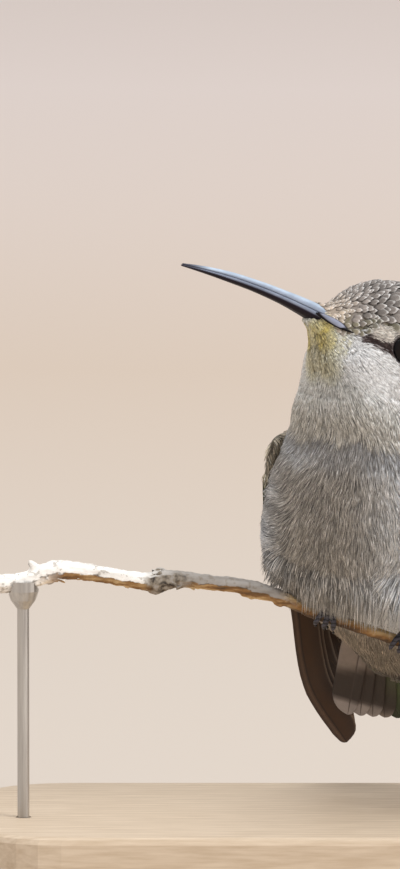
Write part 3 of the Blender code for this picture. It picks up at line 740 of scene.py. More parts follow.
def layBarbs(name, slot, paint, ground, roots, spec, seed):
    points, normals, place = roots
    rng = np.random.default_rng(seed)
    q = points / mm - perchAt
    count, barbs = len(points), spec["barbs"]
    length = spec["length"](q) * rng.uniform(0.85, 1.12, count)
    line, across = spines(ground, points, normals, length, spec, seed + 1)
    shape = (count, barbs)
    seat = (np.arange(barbs) + rng.uniform(0.1, 0.9, shape)) / barbs * 2.0 - 1.0  # -1 to 1 over the tuft
    width = spec["width"](q)[:, None]
    rootT = rng.uniform(0.0, 0.22, shape)
    tipT = (1.0 - 0.3 * seat ** 2) * rng.uniform(0.78, 1.05, shape)
    t = np.stack([rootT, (rootT + tipT) / 2, tipT], axis=-1)
    spot, way, n = alongSpine(line, across, t.reshape(count, -1))
    spot, way, n = (a.reshape(count, barbs, 3, 3) for a in (spot, way, n))
    side = np.cross(way, n)
    spread = np.array([0.75, 1.0, 1.15])
    bend = rng.normal(0.0, spec["bend"], shape)[..., None] * np.array([0.0, 0.25, 1.0])
    lateral = (seat[..., None] * spread * width[..., None] / 2 + bend) * mm
    depth = spec.get("depth", coatDepth)(q)[:, None]
    tier = rng.uniform(0.0, 1.0, shape)  # some barbs lie deep, some on top
    high = depth * spec["lift"] * (0.45 + 0.6 * tier)
    rise = np.stack([np.broadcast_to(depth * 0.05, shape), high * 0.66, high], axis=-1) * mm
    girth = spec["girth"] * rng.uniform(0.8, 1.25, shape)[..., None] * np.array([0.8, 1.0, 0.0]) * mm
    core = spot + side * lateral[..., None] + n * rise[..., None]
    ends = side * girth[..., None] / 2
    ridge = core + n * girth[..., None] * 0.42
    verts = np.concatenate([
        np.stack([core[:, :, k] - ends[:, :, k], core[:, :, k] + ends[:, :, k], ridge[:, :, k]], axis=2)
        for k in (0, 1)] + [core[:, :, 2:3]], axis=2)
    base = spec.get("shade", markings)(q, normals)[:, None, None] * rng.normal(1.0, spec["vary"], (count, 1, 1, 1))
    # painted shade: barbs lying deep darker, and each barb darker towards its root, partly the feather's own dark
    # base
    tone = rng.normal(1.0, spec["streak"], (count, barbs, 1, 1)) * (0.86 + 0.16 * tier[..., None, None])
    rootBaseAndShade = spec["root"]
    ramp = np.array([rootBaseAndShade, rootBaseAndShade, rootBaseAndShade, 0.94, 0.94, 0.98, 1.04])[:, None]
    shades = linear(np.clip(base * tone * ramp * spec["pale"], 0.0, 1.0))
    u = np.stack([seat * 0.5 + 0.5 + d for d in (-0.06, 0.06, 0.0)] * 2 + [seat * 0.5 + 0.5], axis=-1)
    v = np.stack([rootT] * 3 + [(rootT + tipT) / 2] * 3 + [tipT], axis=-1)
    places = patches(place, np.clip(u, 0, 1), np.clip(v, 0, 1))
    vanes = np.stack([u, v], axis=-1)
    layCoat(name, slot, paint, verts.reshape(-1, 7, 3), barbFaces, shades.reshape(-1, 7, 3),
            places.reshape(-1, 7, 2), vanes.reshape(-1, 7, 2))


# Scale feathers: small rounded vanes with pale rims, thin and closed

scaleRows = (0.0, 0.3, 0.55, 0.74, 0.88, 1.0)
scaleCup = (0.2, 0.7, 1.0, 1.0, 0.8, 0.45)  # how far each row arches
scaleColumns = (-1.0, -0.72, -0.35, 0.0, 0.35, 0.72, 1.0)
widest = 0.55  # where along a scale it is widest


def gridFaces(rows, columns):  # the upper side as quads, the lower side closed from edge to edge
    faces = []
    for i in range(rows - 1):
        for j in range(columns - 1):
            a = i * columns + j
            faces.append((a, a + 1, a + columns + 1, a + columns))
        faces.append((i * columns, (i + 1) * columns, (i + 1) * columns + columns - 1, i * columns + columns - 1))
    faces.append(tuple(range(columns))[::-1])
    faces.append(tuple((rows - 1) * columns + j for j in range(columns)))
    return faces


def layScales(name, slot, paint, ground, roots, spec, seed):
    points, normals, place = roots
    rng = np.random.default_rng(seed)
    q = points / mm - perchAt
    count = len(points)
    width = spec["width"](q) * rng.uniform(0.88, 1.12, count)
    length = width * spec["ratio"]
    line, across = spines(ground, points, normals, length, spec, seed + 1)
    rows, columns = len(scaleRows), len(scaleColumns)
    row, column = np.array(scaleRows), np.array(scaleColumns)
    halfShape = np.where(row < widest, 0.45 + 0.55 * np.sin(np.minimum(row / widest, 1.0) * math.pi / 2),
                         np.sqrt(np.maximum(1.0 - ((row - widest) / 0.5) ** 2, 0.0)))
    arc = 0.16 * column ** 2 * ease(0.3, 1.0, row)[:, None]  # rows bow, so that the tip is round
    t = np.broadcast_to((row[:, None] - arc).reshape(-1), (count, rows * columns))
    ragged = rng.normal(0.0, 0.02, (count, rows, columns)) * (row > 0.8)[None, :, None]
    t = np.maximum(t + ragged.reshape(count, -1), 0.0)
    spot, way, n = alongSpine(line, across, t)
    side = np.cross(way, n)
    reach = (halfShape[:, None] * column[None, :]).reshape(-1) * (width / 2)[:, None] * mm
    cup = (1.0 - column ** 2)[None, :] * np.array(scaleCup)[:, None]
    depth = spec.get("depth", coatDepth)(q)[:, None]
    tier = rng.uniform(0.75, 1.15, (count, 1))
    rise = depth * tier * (0.1 + spec["lift"] * np.repeat(row, columns)[None, :])
    rise = (rise + cup.reshape(-1)[None, :] * width[:, None] * spec["cup"]) * mm
    verts = spot + side * reach[..., None] + n * rise[..., None]
    edge = np.maximum(np.abs(column)[None, :] ** 4 * ease(0.35, 0.85, row)[:, None],
                      ease(spec.get("rimFrom", 0.78), 0.99, row)[:, None]).reshape(-1)
    root = np.repeat(row, columns)
    base = spec.get("shade", markings)(q, normals)[:, None] * rng.normal(1.0, spec["vary"], (count, 1, 1))
    dark = base * spec["dark"] * (0.75 + 0.25 * root)[None, :, None] * spec.get("glow", flat(1.0))(q)[:, None, None]
    rimShare = spec.get("rimShare", 0.2)
    pale = mixed(np.clip(base * spec["pale"], 0, 1), tint(spec, "rim"), rimShare)
    rim = edge[None, :, None] * rng.uniform(0.75, 1.0, (count, 1, 1))
    shades = linear(np.clip(mixed(dark, pale, rim), 0.0, 1.0))
    u = np.broadcast_to(np.tile(column * 0.5 + 0.5, rows), (count, rows * columns))
    v = np.broadcast_to(root, (count, rows * columns))
    layCoat(name, slot, paint, verts, gridFaces(rows, columns), shades, patches(place, u, v), np.stack([u, v], -1))


def featherPaint(name, striation, roughness, gloss=0.0):
    paint = Paint(name, Roughness=roughness)
    paint.shader.inputs["Specular IOR Level"].default_value = 0.25 + gloss
    paint.shader.inputs["Sheen Weight"].default_value = 0.08
    colour = paint.attribute("marking")
    fine = paint.noise(5200.0, 2.0)
    colour = paint.blend(1.0, colour, paint.ramp(fine, (0.3, 0.84), (0.7, 1.12)), "MULTIPLY")
    if striation:
        u, v, _ = paint.split(paint.attribute("vane", "Vector"))
        line = (v * striation[0] - abs(u - 0.5) * striation[1]).sine() * 0.5 + 0.5
        colour = paint.blend(line * 0.32, colour, (0.02, 0.017, 0.014))
        paint.bump(line, 0.35, 0.00004)
    paint.feed("Base Color", colour)
    return paint.material


downPaint = featherPaint("down_feathers", None, 0.82)
scalePaint = featherPaint("scale_feathers", (46.0, 30.0), 0.66)
skinPaint = featherPaint("skin_under_feathers", None, 0.9)

skin = makeSkin()
skinPoints, skinNormals = coords(skin.data), vertexNormals(skin.data)
# the skin painted darker than the feathers over it: their dark bases, and painted shade in the gaps between the barbs
paintPoints(skin.data, linear(markings(skinPoints / mm - perchAt, skinNormals) * skinSpec["baseAndShadeShare"]))
keep(skin, "plumage_body", skinPaint, "head", "neck", "trunk")
ground = Ground(skin)
print("skin:", len(skin.data.polygons), "faces")


def nearEye(q, reach):  # within reach of the line through either eye
    out = headAxes[1]
    away = (q - eye - ((q - eye) @ out)[:, None] * out for eye in (eyeAt["left"], eyeAt["right"]))
    return (np.minimum(*(np.linalg.norm(a, axis=1) for a in away)) < reach) & (np.abs(inHead(q)[:, 1]) > 3.0)


def clearOfHoles(q):  # not in the eye's opening or the bill's socket
    h = inHead(q)
    inBill = (h[:, 0] > 5.6) & (np.hypot(h[:, 1] / 1.35, h[:, 2] + 0.6) < 0.72)
    return ~(nearEye(q, 1.42) | inBill)


def openTo(points, normals, reach):  # False where the skin faces itself across a groove
    starts = points + normals * 0.25 * mm
    return np.array([ground.tree.ray_cast(start, way, reach * mm)[0] is None
                     for start, way in zip(starts.tolist(), normals.tolist())])


napeHigh, chinHigh, collarHigh = 21.5, 24.5, 17.6  # over the perch, where one kind of feather meets the next
zones = {
    "crown": lambda q, n: (dorsal(q, n) > 0.5) & (q[:, 2] > napeHigh),
    "back": lambda q, n: (dorsal(q, n) > 0.5) & (q[:, 2] <= napeHigh),
    "face": lambda q, n: ((dorsal(q, n) <= 0.5) | nearEye(q, 2.3)) & (q[:, 2] > chinHigh),
    "throat": lambda q, n: (dorsal(q, n) <= 0.5) & (q[:, 2] <= chinHigh) & (q[:, 2] > collarHigh),
    "breast": lambda q, n: (dorsal(q, n) <= 0.5) & (q[:, 2] <= collarHigh),
}
triesForOne = 3.2  # places tried for each feather's root


def rootsIn(zone, spacing, seed):  # where a zone's feathers stand, from the top down
    area = ground.areas.sum() / mm ** 2
    point, normal, place = ground.scatter(int(area * triesForOne / spacing(np.zeros((1, 3))).min() ** 2), seed)
    q = point / mm - perchAt
    inside = zones[zone](q, normal) & clearOfHoles(q)
    point, normal, place, q = point[inside], normal[inside], place[inside], q[inside]
    kept = thinOut(point / mm, spacing(q))
    kept = kept[openTo(point[kept], normal[kept], 5.0)]
    kept = kept[np.argsort(-q[kept][:, 2], kind="stable")]
    return point[kept], normal[kept], place[kept]


def flat(value):  # the same all over
    return lambda q: np.full(len(q), value)


def crownWidth(q):  # small at the bill, larger behind
    return 0.5 + 0.6 * ease(6.8, 0.5, inHead(q)[:, 0]) + 0.2 * ease(-2.0, -6.0, inHead(q)[:, 0])


crownSpec = {"width": crownWidth, "ratio": 1.5, "jitter": 0.16, "lift": 0.75, "cup": 0.1, "vary": 0.07,
             "dark": 0.6, "pale": 1.8, "rim": (255, 252, 248), "rimShare": 0.8, "rimFrom": 0.74,
             "glow": lambda q: 1.0 + 0.4 * ease(3.0, 6.0, inHead(q)[:, 0])}
backSpec = {"width": lambda q: 1.35 + 0.5 * ease(20.0, 8.0, q[:, 2]), "ratio": 1.4, "jitter": 0.08, "lift": 0.7,
            "cup": 0.08, "vary": 0.06, "dark": 0.86, "pale": 1.3, "rim": (176, 164, 130)}
faceSpec = {"barbs": 7, "length": lambda q: 0.8 + 0.75 * ease(6.5, 0.0, inHead(q)[:, 0]),
            "width": flat(0.5), "girth": 0.07, "jitter": 0.07, "bend": 0.03, "lift": 0.85, "vary": 0.03,
            "streak": 0.06, "pale": 1.06, "root": 0.88}
throatSpec = {"barbs": 8, "length": lambda q: 1.8 + 0.6 * ease(24.0, 19.0, q[:, 2]), "width": flat(0.72),
              "girth": 0.095, "jitter": 0.04, "bend": 0.035, "lift": 0.9, "vary": 0.035, "streak": 0.12,
              "pale": 1.06, "root": 0.7}
breastSpec = {"barbs": 7, "length": lambda q: 2.7 + 0.9 * ease(9.0, 4.0, q[:, 2]), "width": flat(0.85),
              "girth": 0.088, "jitter": 0.035, "bend": 0.035, "lift": 1.0, "vary": 0.045, "streak": 0.16,
              "pale": 1.12, "root": 0.55}

layScales("crown_scales", "plumage_head", scalePaint, ground,
          rootsIn("crown", lambda q: crownWidth(q) * 0.5, 11), crownSpec, 12)
layScales("back_scales", "plumage_body", scalePaint, ground,
          rootsIn("back", lambda q: backSpec["width"](q) * 0.48, 21), backSpec, 22)
layBarbs("face_feathers", "plumage_head", downPaint, ground, rootsIn("face", flat(0.22), 31), faceSpec, 32)
layBarbs("throat_feathers", "plumage_body", downPaint, ground, rootsIn("throat", flat(0.27), 41), throatSpec, 42)
layBarbs("breast_feathers", "plumage_body", downPaint, ground, rootsIn("breast", flat(0.26), 51), breastSpec, 52)


# Fringe: long barbs that hang from the belly over the twig

def fringeLength(q):  # down to the line where the belly ends, shorter over the right foot
    x = q[:, 0]
    end = np.where(x < -2.4, -0.1 - 0.52 * (x + 2.4), -0.1 - 0.15 * (x + 2.4)) + 1.5 * ease(-8.6, -10.4, x)
    flank, foot = (np.exp(-((x - at) / wide) ** 2) for at, wide in ((-6.0, 2.2), (-3.7, 0.8)))
    return np.clip(q[:, 2] - end + 0.95 * flank - 0.15 * foot, 1.4, 5.8)


def fringeHang(q):  # which way the barbs hang, and how free of the skin
    x = q[:, 0]
    lean = -0.26 * ease(-3.5, -8.0, x) - 0.16 * ease(0.0, 3.5, x) + 0.1 * np.sin(x * 2.3 + q[:, 2] * 0.6)
    outward = 0.1 - 0.3 * np.exp(-((x + 5.6) / 2.4) ** 2)
    free = np.maximum(ease(8.0, 4.2, q[:, 2]), 0.85 * ease(-5.5, -7.5, x) * ease(8.4, 6.6, q[:, 2]))
    return np.stack([lean, outward, np.full(len(q), -1.0)], axis=1), free[:, None]


fringeSpec = {"barbs": 8, "length": fringeLength, "width": flat(0.95), "girth": 0.1, "jitter": 0.08, "bend": 0.12,
              "lift": 0.8, "vary": 0.05, "streak": 0.18, "pale": 1.1, "root": 0.6, "hang": fringeHang}


def fringeZone(q, n):  # the belly's front, thinning out upwards
    front = (dorsal(q, n) < 0.4) & (q[:, 2] > 1.0) & (q[:, 1] < 0.6) & (np.abs(q[:, 0]) < 10.4)
    return front & (np.sin(q[:, 0] * 127.1 + q[:, 2] * 311.7) < 2.0 * ease(9.5, 4.2, q[:, 2]) - 1.0)


zones["fringe"] = fringeZone
layBarbs("belly_fringe", "plumage_body", downPaint, ground, rootsIn("fringe", flat(0.34), 61), fringeSpec, 62)


# Eyes: a dark glossy ball with a brown iris, a low cornea, a lid, and a ring of tiny pale feathers

eyeSpec = {"radius": 1.75, "pupil": 0.62, "iris": 1.12, "cornea": 0.07, "lidRadius": 1.44, "lidThick": 0.19,
           "lidLong": 1.06, "pale": (232, 228, 224), "dark": (40, 30, 28), "black": (9, 7, 8), "brown": (17, 11, 9),
           "blur": 0.08}


def eyeAxes(side):  # outwards, forwards and up at one eye
    ahead, left, up = (Vector(axis) for axis in headAxes)
    return left * (1.0 if side == "left" else -1.0), ahead, up


def makeEye(side):
    out, ahead, up = eyeAxes(side)
    centre = (Vector(eyeAt[side]) + Vector(perchAt)) * mm
    eye = ball("eyeball_" + side, 48, 32)
    setCoords(eye.data, coords(eye.data) * eyeSpec["radius"] * mm)
    points = coords(eye.data) / mm
    off = np.hypot(points[:, 0], points[:, 1])
    front = points[:, 2] > 0
    points[:, 2] += np.where(front, eyeSpec["cornea"] * ease(1.25, 0.3, off), 0.0)
    pupil, rim, blur = eyeSpec["pupil"], eyeSpec["iris"], eyeSpec["blur"]
    iris = front * ease(pupil, pupil + blur, off) * ease(rim + blur, rim, off)
    shade = mixed(tint(eyeSpec, "black"), tint(eyeSpec, "brown"), iris[:, None])
    setCoords(eye.data, points * mm)
    paintPoints(eye.data, linear(shade))
    eye.rotation_euler = out.to_track_quat("Z", "Y").to_euler()
    eye.location = centre
    settle(smoothShade(eye))
    keep(eye, "eye", eyePaint, "eye_" + side)

    deselect()
    lift = math.sqrt(eyeSpec["radius"] ** 2 - eyeSpec["lidRadius"] ** 2)
    bpy.ops.mesh.primitive_torus_add(major_segments=64, minor_segments=12, major_radius=eyeSpec["lidRadius"] * mm,
                                     minor_radius=eyeSpec["lidThick"] * mm)
    lid = bpy.context.object
    lid.name = lid.data.name = "eyelid_" + side
    points = coords(lid.data) / mm
    turn = np.arctan2(points[:, 1], points[:, 0])  # 0 is forwards once placed, a right angle is up
    wave = 0.03 * np.sin(turn * 17) + 0.02 * np.sin(turn * 29 + 1.0)
    away = np.hypot(points[:, 0], points[:, 1])
    points[:, :2] *= (1.0 + wave / away)[:, None]
    points[:, 0] *= eyeSpec["lidLong"]
    points[:, 2] += 0.05 * np.cos(turn * 2.0)
    white = ease(0.0, 0.08, away - eyeSpec["lidRadius"]) * np.maximum(ease(0.1, 0.6, np.abs(np.sin(turn))), 0.3)
    shade = mixed(np.array(eyeSpec["dark"]), np.array(eyeSpec["pale"]), white[:, None])
    setCoords(lid.data, points * mm)
    paintPoints(lid.data, linear(shade / 255.0))
    turned = Matrix((ahead, up, ahead.cross(up))).transposed().to_4x4()
    lid.matrix_world = Matrix.Translation(centre + out * lift * mm) @ turned
    settle(smoothShade(lid))
    if side == "right":
        flipFaces(lid)
    keep(lid, "plumage_head", lidPaint)


def eyePaintOf():
    paint = Paint("eye_gloss", Roughness=0.12, Coat_Weight=0.3, Coat_Roughness=0.01, Specular_IOR_Level=0.04)
    paint.feed("Base Color", paint.attribute("marking"))
    return paint.material


def lidPaintOf():
    paint = Paint("lid_skin", Roughness=0.5)
    grain = paint.noise(9000.0, 2.0)
    tone = paint.ramp(grain, (0.3, 0.7), (0.7, 1.1))
    paint.feed("Base Color", paint.blend(1.0, paint.attribute("marking"), tone, "MULTIPLY"))
    paint.bump(grain, 0.4, 0.00004)
    return paint.material


eyePaint, lidPaint = eyePaintOf(), lidPaintOf()
for side in ("left", "right"):
    makeEye(side)
print("eyes done")


# Bill: both halves worked up from the solids, with the flap over each nostril and the gape line

# top and side: a pale blue-grey painted reflection along the upper side of the near-black bill
billSpec = {"length": 17.6, "droop": 15.5, "voxel": 0.075, "swell": {"upper": 0.05, "lower": 0.1}, "fine": 0.42,
            "top": (173, 188, 203), "side": (134, 144, 160), "low": (20, 11, 24), "tip": (38, 34, 44)}


def billPlace(q):  # share of the length, and rise over the middle in millimetres
    h = inHead(q)
    radius = billSpec["length"] / math.radians(billSpec["droop"])
    forward, up = h[:, 0] - billAt[0], radius + h[:, 2] - billAt[1]
    return np.arctan2(forward, up) / math.radians(billSpec["droop"]), np.hypot(forward, up) - radius, h[:, 1]


def makeBill(half):
    bill = copyNode("bill_" + half, half + "_bill")
    applied(bill, "REMESH", mode="VOXEL", voxel_size=billSpec["voxel"] * mm, use_smooth_shade=True)
    applied(bill, "SMOOTH", factor=0.5, iterations=8)
    applied(bill, "DISPLACE", strength=billSpec["swell"][half] * mm, mid_level=0.0)
    points = coords(bill.data) / mm - perchAt
    share, rise, across = billPlace(points)
    turn = share * math.radians(billSpec["droop"])
    off = np.column_stack([rise * np.sin(turn), across, rise * np.cos(turn)]) @ headAxes
    points -= off * (billSpec["fine"] * ease(0.6, 1.0, share))[:, None]  # finer towards the tip
    setCoords(bill.data, (points + perchAt) * mm)
    # painted reflection: the side colour over the upper part of each half, the paler top colour along the upper
    # half's crest
    upper = ease(-0.26, -0.14, rise) if half == "upper" else ease(-0.46, -0.3, rise / (1.0 - 0.6 * share)) * 0.9
    crestReflection = ease(0.25, 0.8, rise / np.maximum(0.95 - 0.75 * share, 0.2)) * (half == "upper")
    low, side, top, tip = (np.array(billSpec[key], float)[None, :] for key in ("low", "side", "top", "tip"))
    shade = mixed(mixed(low, side, upper[:, None]), top, crestReflection[:, None])
    shade = mixed(shade, tip, ease(0.8, 1.0, share)[:, None] * 0.8)
    paintPoints(bill.data, linear(shade / 255.0))
    smoothShade(bill)
    keep(bill, "bill", billPaint, "bill_" + half)


def billPaintOf():
    paint = Paint("bill_horn", Roughness=0.36, Coat_Weight=0.06, Coat_Roughness=0.2, Specular_IOR_Level=0.16)
    grain = paint.noise(900.0, 4.0, vector=paint.stretched((0.35, 0.6, 1.6), (0.0, 0.45, 0.55)))
    tone = paint.ramp(grain, (0.3, (0.78, 0.78, 0.8)), (0.7, (1.12, 1.1, 1.1)))
    paint.feed("Base Color", paint.blend(1.0, paint.attribute("marking"), tone, "MULTIPLY"))
    paint.feed("Roughness", 0.3 + grain * 0.2)
    paint.bump(grain, 0.12, 0.00005)
    return paint.material


flapSpec = {"start": (8.3, 1.2, -0.5), "end": (5.5, 3.05, -0.92), "high": 0.33, "thick": 0.24,
            "pale": (142, 146, 162), "dark": (22, 15, 20)}
gapeSpec = {"line": ((8.4, 1.15, -0.62), (7.4, 1.62, -0.85), (6.4, 2.38, -0.98), (5.6, 3.05, -1.02),
                     (5.0, 3.6, -1.0)), "radius": (0.1, 0.17, 0.19, 0.15, 0.04), "colour": (16, 10, 13)}


def makeFlap(side):  # a lens of bare skin over the nostril, pale blue-grey in the middle as a painted reflection like the bill's, dark along its edge
    sign = 1.0 if side == "left" else -1.0
    start, end = (Vector(fromHead(a, b * sign, c)) for a, b, c in (flapSpec["start"], flapSpec["end"]))
    flap = ball("nostril_flap_" + side, 40, 20)
    points = coords(flap.data)
    rim = np.sqrt(np.clip(points[:, 0] ** 2 + points[:, 1] ** 2, 0, 1))
    edge = ease(0.72, 0.94, rim)[:, None]
    # painted reflection in the middle, the flap's dark edge round it
    paintPoints(flap.data, linear(mixed(np.array(flapSpec["pale"]), np.array(flapSpec["dark"]), edge) / 255))
    points[:, 1] *= 1.0 - 0.35 * points[:, 0]  # wider behind than before
    setCoords(flap.data, points)
    along = (start - end).normalized()
    out = (Vector(headAxes[1]) * sign - along * along.dot(Vector(headAxes[1]) * sign)).normalized()
    up = out.cross(along) * (1 if out.cross(along).dot(Vector(headAxes[2])) > 0 else -1)
    size = ((start - end).length / 2, flapSpec["high"], flapSpec["thick"])
    put(flap, (start + end) / 2, [axis * scale for axis, scale in zip((along, up, out), size)])
    keep(smoothShade(flap), "bill", billPaint)


def tubeAlong(name, points, radii, colour=None, around=5):  # a tapering round piece along points, ends closed
    curve = bpy.data.curves.new(name, "CURVE")
    curve.dimensions, curve.bevel_depth, curve.bevel_resolution = "3D", 1.0 * mm, around
    curve.use_fill_caps, curve.resolution_u = True, 6
    spline = curve.splines.new("NURBS")
    spline.points.add(len(points) - 1)
    for spot, point, radius in zip(spline.points, points, radii):
        spot.co = (*(Vector(point) * mm + perch), 1.0)
        spot.radius = radius
    spline.order_u, spline.use_endpoint_u = 4, True
    made = bpy.data.objects.new(name, curve)
    bpy.context.scene.collection.objects.link(made)
    takeUp(made)
    bpy.ops.object.convert(target="MESH")
    made = bpy.context.object
    mergeDoubles(made, 1e-7)
    flipFaces(smoothShade(made))
    if colour:
        paintPoints(made.data, np.tile(linear(np.array(colour) / 255.0), (len(made.data.vertices), 1)))
    return made


billPaint = billPaintOf()
for half in ("upper", "lower"):
    makeBill(half)
for side, sign in (("left", 1.0), ("right", -1.0)):
    makeFlap(side)
    line = [fromHead(a, b * sign, c) for a, b, c in gapeSpec["line"]]
    keep(tubeAlong("gape_line_" + side, line, gapeSpec["radius"], gapeSpec["colour"]), "bill", billPaint)
print("bill done")


# Feet: toes and shank from the solids, with scutes, and a curved claw on each toe

footSpec = {"voxel": 0.075, "skin": srgb(66, 64, 74), "gap": srgb(24, 21, 25), "reach": 0.29, "claw": 0.115,
            "front": ((-0.95, 168.0), (0.0, 186.0), (0.95, 168.0)), "hind": (0.25, -150.0), "hook": 34.0,
            "taper": (1.15, 1.1, 0.85, 0.5, 0.12), "at": {"right": -3.6, "left": 3.9}}


def footPaintOf():
    paint = Paint("foot_scales", Roughness=0.55)
    wave = paint.node("ShaderNodeTexWave", {"bands_direction": "Z"},
                      {"Vector": paint.place(), "Scale": 720.0, "Distortion": 3.0, "Detail": 1.0,
                       "Detail Scale": 2.0}, "Fac")
    tone = paint.noise(2600.0, 2.0)
    paint.feed("Base Color", paint.ramp(wave * 0.7 + tone * 0.3, (0.2, footSpec["gap"]), (0.6, footSpec["skin"])))
    paint.bump(wave, 0.5, 0.00006)
    return paint.material


def twigNear(x):  # the twig's middle, its direction, the ways up and to the front, and its radius at x
    points = coords(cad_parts["twig"].data) / mm - perchAt

    def centre(at):
        near = points[np.abs(points[:, 0] - at) < 1.1]
        return near.mean(axis=0), np.linalg.norm(near[:, 1:] - near[:, 1:].mean(axis=0), axis=1).mean()

    spot, radius = centre(x)
    ahead = (Vector(centre(x + 1.5)[0]) - Vector(centre(x - 1.5)[0])).normalized()
    up = (Vector((0.0, 0.0, 1.0)) - ahead * ahead.z).normalized()
    front = ahead.cross(up) if ahead.cross(up).y < 0 else -ahead.cross(up)
    return Vector(spot), ahead, up, front, radius


def makeFoot(side):
    leg = copyNode("leg_" + side, "foot_" + side)
    applied(leg, "REMESH", mode="VOXEL", voxel_size=footSpec["voxel"] * mm, use_smooth_shade=True)
    applied(leg, "SMOOTH", factor=0.5, iterations=2)
    root, ahead, up, front, radius = twigNear(footSpec["at"][side])
    claws = []
    for splay, last in (*footSpec["front"], footSpec["hind"]):
        sign = 1.0 if last > 0 else -1.0
        points = []
        for k in range(5):
            turn = math.radians(last + sign * (footSpec["hook"] * k / 4 - 10.0))
            reach = radius + footSpec["reach"] + 0.14 - 0.12 * (k / 4) ** 2
            points.append(root + ahead * splay + (up * math.cos(turn) + front * math.sin(turn)) * reach)
        claws.append(tubeAlong("claw", points, [footSpec["claw"] * share for share in footSpec["taper"]]))
    keep(leg, "foot", footPaint, "leg_" + side)
    keep(joinAll(claws, "claws_" + side), "foot", clawPaint)


def clawPaintOf():
    paint = Paint("claw_horn", Roughness=0.25)
    grain = paint.noise(5000.0)
    paint.feed("Base Color", paint.ramp(grain, (0.3, srgb(18, 15, 17)), (0.7, srgb(44, 38, 40))))
    return paint.material


footPaint, clawPaint = footPaintOf(), clawPaintOf()
makeFoot("right")
makeFoot("left")
print("feet done")


# Flight feathers: thin closed vanes on a curved line, with a raised shaft, a paler edge and a painted shadow line
# just inside it

wingSpec = {
    "stations": (
        ((5.2, 10.8, 16.4), (2.8, 8.4, 17.7), 0.4), ((1.4, 11.2, 11.2), (-4.4, 5.2, 17.6), 1.6),
        ((-4.6, 11.6, 4.6), (-9.6, 3.0, 12.2), 1.9), ((-11.1, 10.7, -2.7), (-13.6, 2.4, 5.6), 1.4),
        ((-16.0, 10.3, -8.1), (-17.2, 4.4, -2.6), 0.8), ((-21.2, 9.5, -12.8), (-22.2, 6.2, -9.2), 0.4),
        ((-27.2, 7.0, -17.5), (-27.7, 6.1, -16.7), 0.1)),
    "tips": (2.7, 3.1, 3.55, 4.0, 4.45, 4.9, 5.3, 5.65, 5.9, 6.0),  # stations, innermost primary first
    "brown": (66, 45, 29), "strip": (90, 69, 54), "shaft": (40, 28, 21), "edge": (100, 80, 62),
    "groove": (46, 33, 25), "bend": (206, 195, 176), "covert": (88, 96, 66), "covertEdge": (142, 134, 104),
}


def between(values, number):  # a smooth curve through values, at a fractional place
    last = len(values) - 1
    i = min(max(int(number), 0), last - 1)
    t = number - i
    a, b, c, d = (values[min(max(k, 0), last)] for k in (i - 1, i, i + 1, i + 2))
    return 0.5 * (2 * b + (c - a) * t + (2 * a - 5 * b + 4 * c - d) * t * t + (3 * b - a - 3 * c + d) * t ** 3)


def wingPlace(number, chord, sign, out=0.0):  # a point of the folded wing, from the perch
    lead, trail = (between([np.array(row[k]) for row in wingSpec["stations"]], number) for k in (0, 1))
    bulge = between([row[2] for row in wingSpec["stations"]], number)
    along = between([np.array(row[0]) for row in wingSpec["stations"]], number + 0.1) - lead
    outward = unit(np.cross(along, trail - lead))
    outward = outward if outward[1] > 0 else -outward
    point = lead + (trail - lead) * chord + outward * (bulge * 4.0 * chord * (1.0 - chord) + out)
    return fromBody(point[0], point[1] * sign, point[2])


def shellFaces(rows, columns):  # two sheets joined along their edges
    faces, back = [], rows * columns
    for i in range(rows - 1):
        for j in range(columns - 1):
            a = i * columns + j
            faces.append((a, a + 1, a + columns + 1, a + columns))
            faces.append((back + a, back + a + columns, back + a + columns + 1, back + a + 1))
        a, b = i * columns, i * columns + columns - 1
        faces.append((a, a + columns, back + a + columns, back + a))
        faces.append((b, back + b, back + b + columns, b + columns))
    for j in range(columns - 1):
        a, b = j, (rows - 1) * columns + j
        faces.append((a, back + a, back + a + 1, a + 1))
        faces.append((b, b + 1, back + b + 1, back + b))
    return faces


vaneRows, vaneColumns = 24, 11
vaneAcross = np.array((-1.0, -0.88, -0.72, -0.38, -0.08, 0.0, 0.08, 0.38, 0.72, 0.88, 1.0))


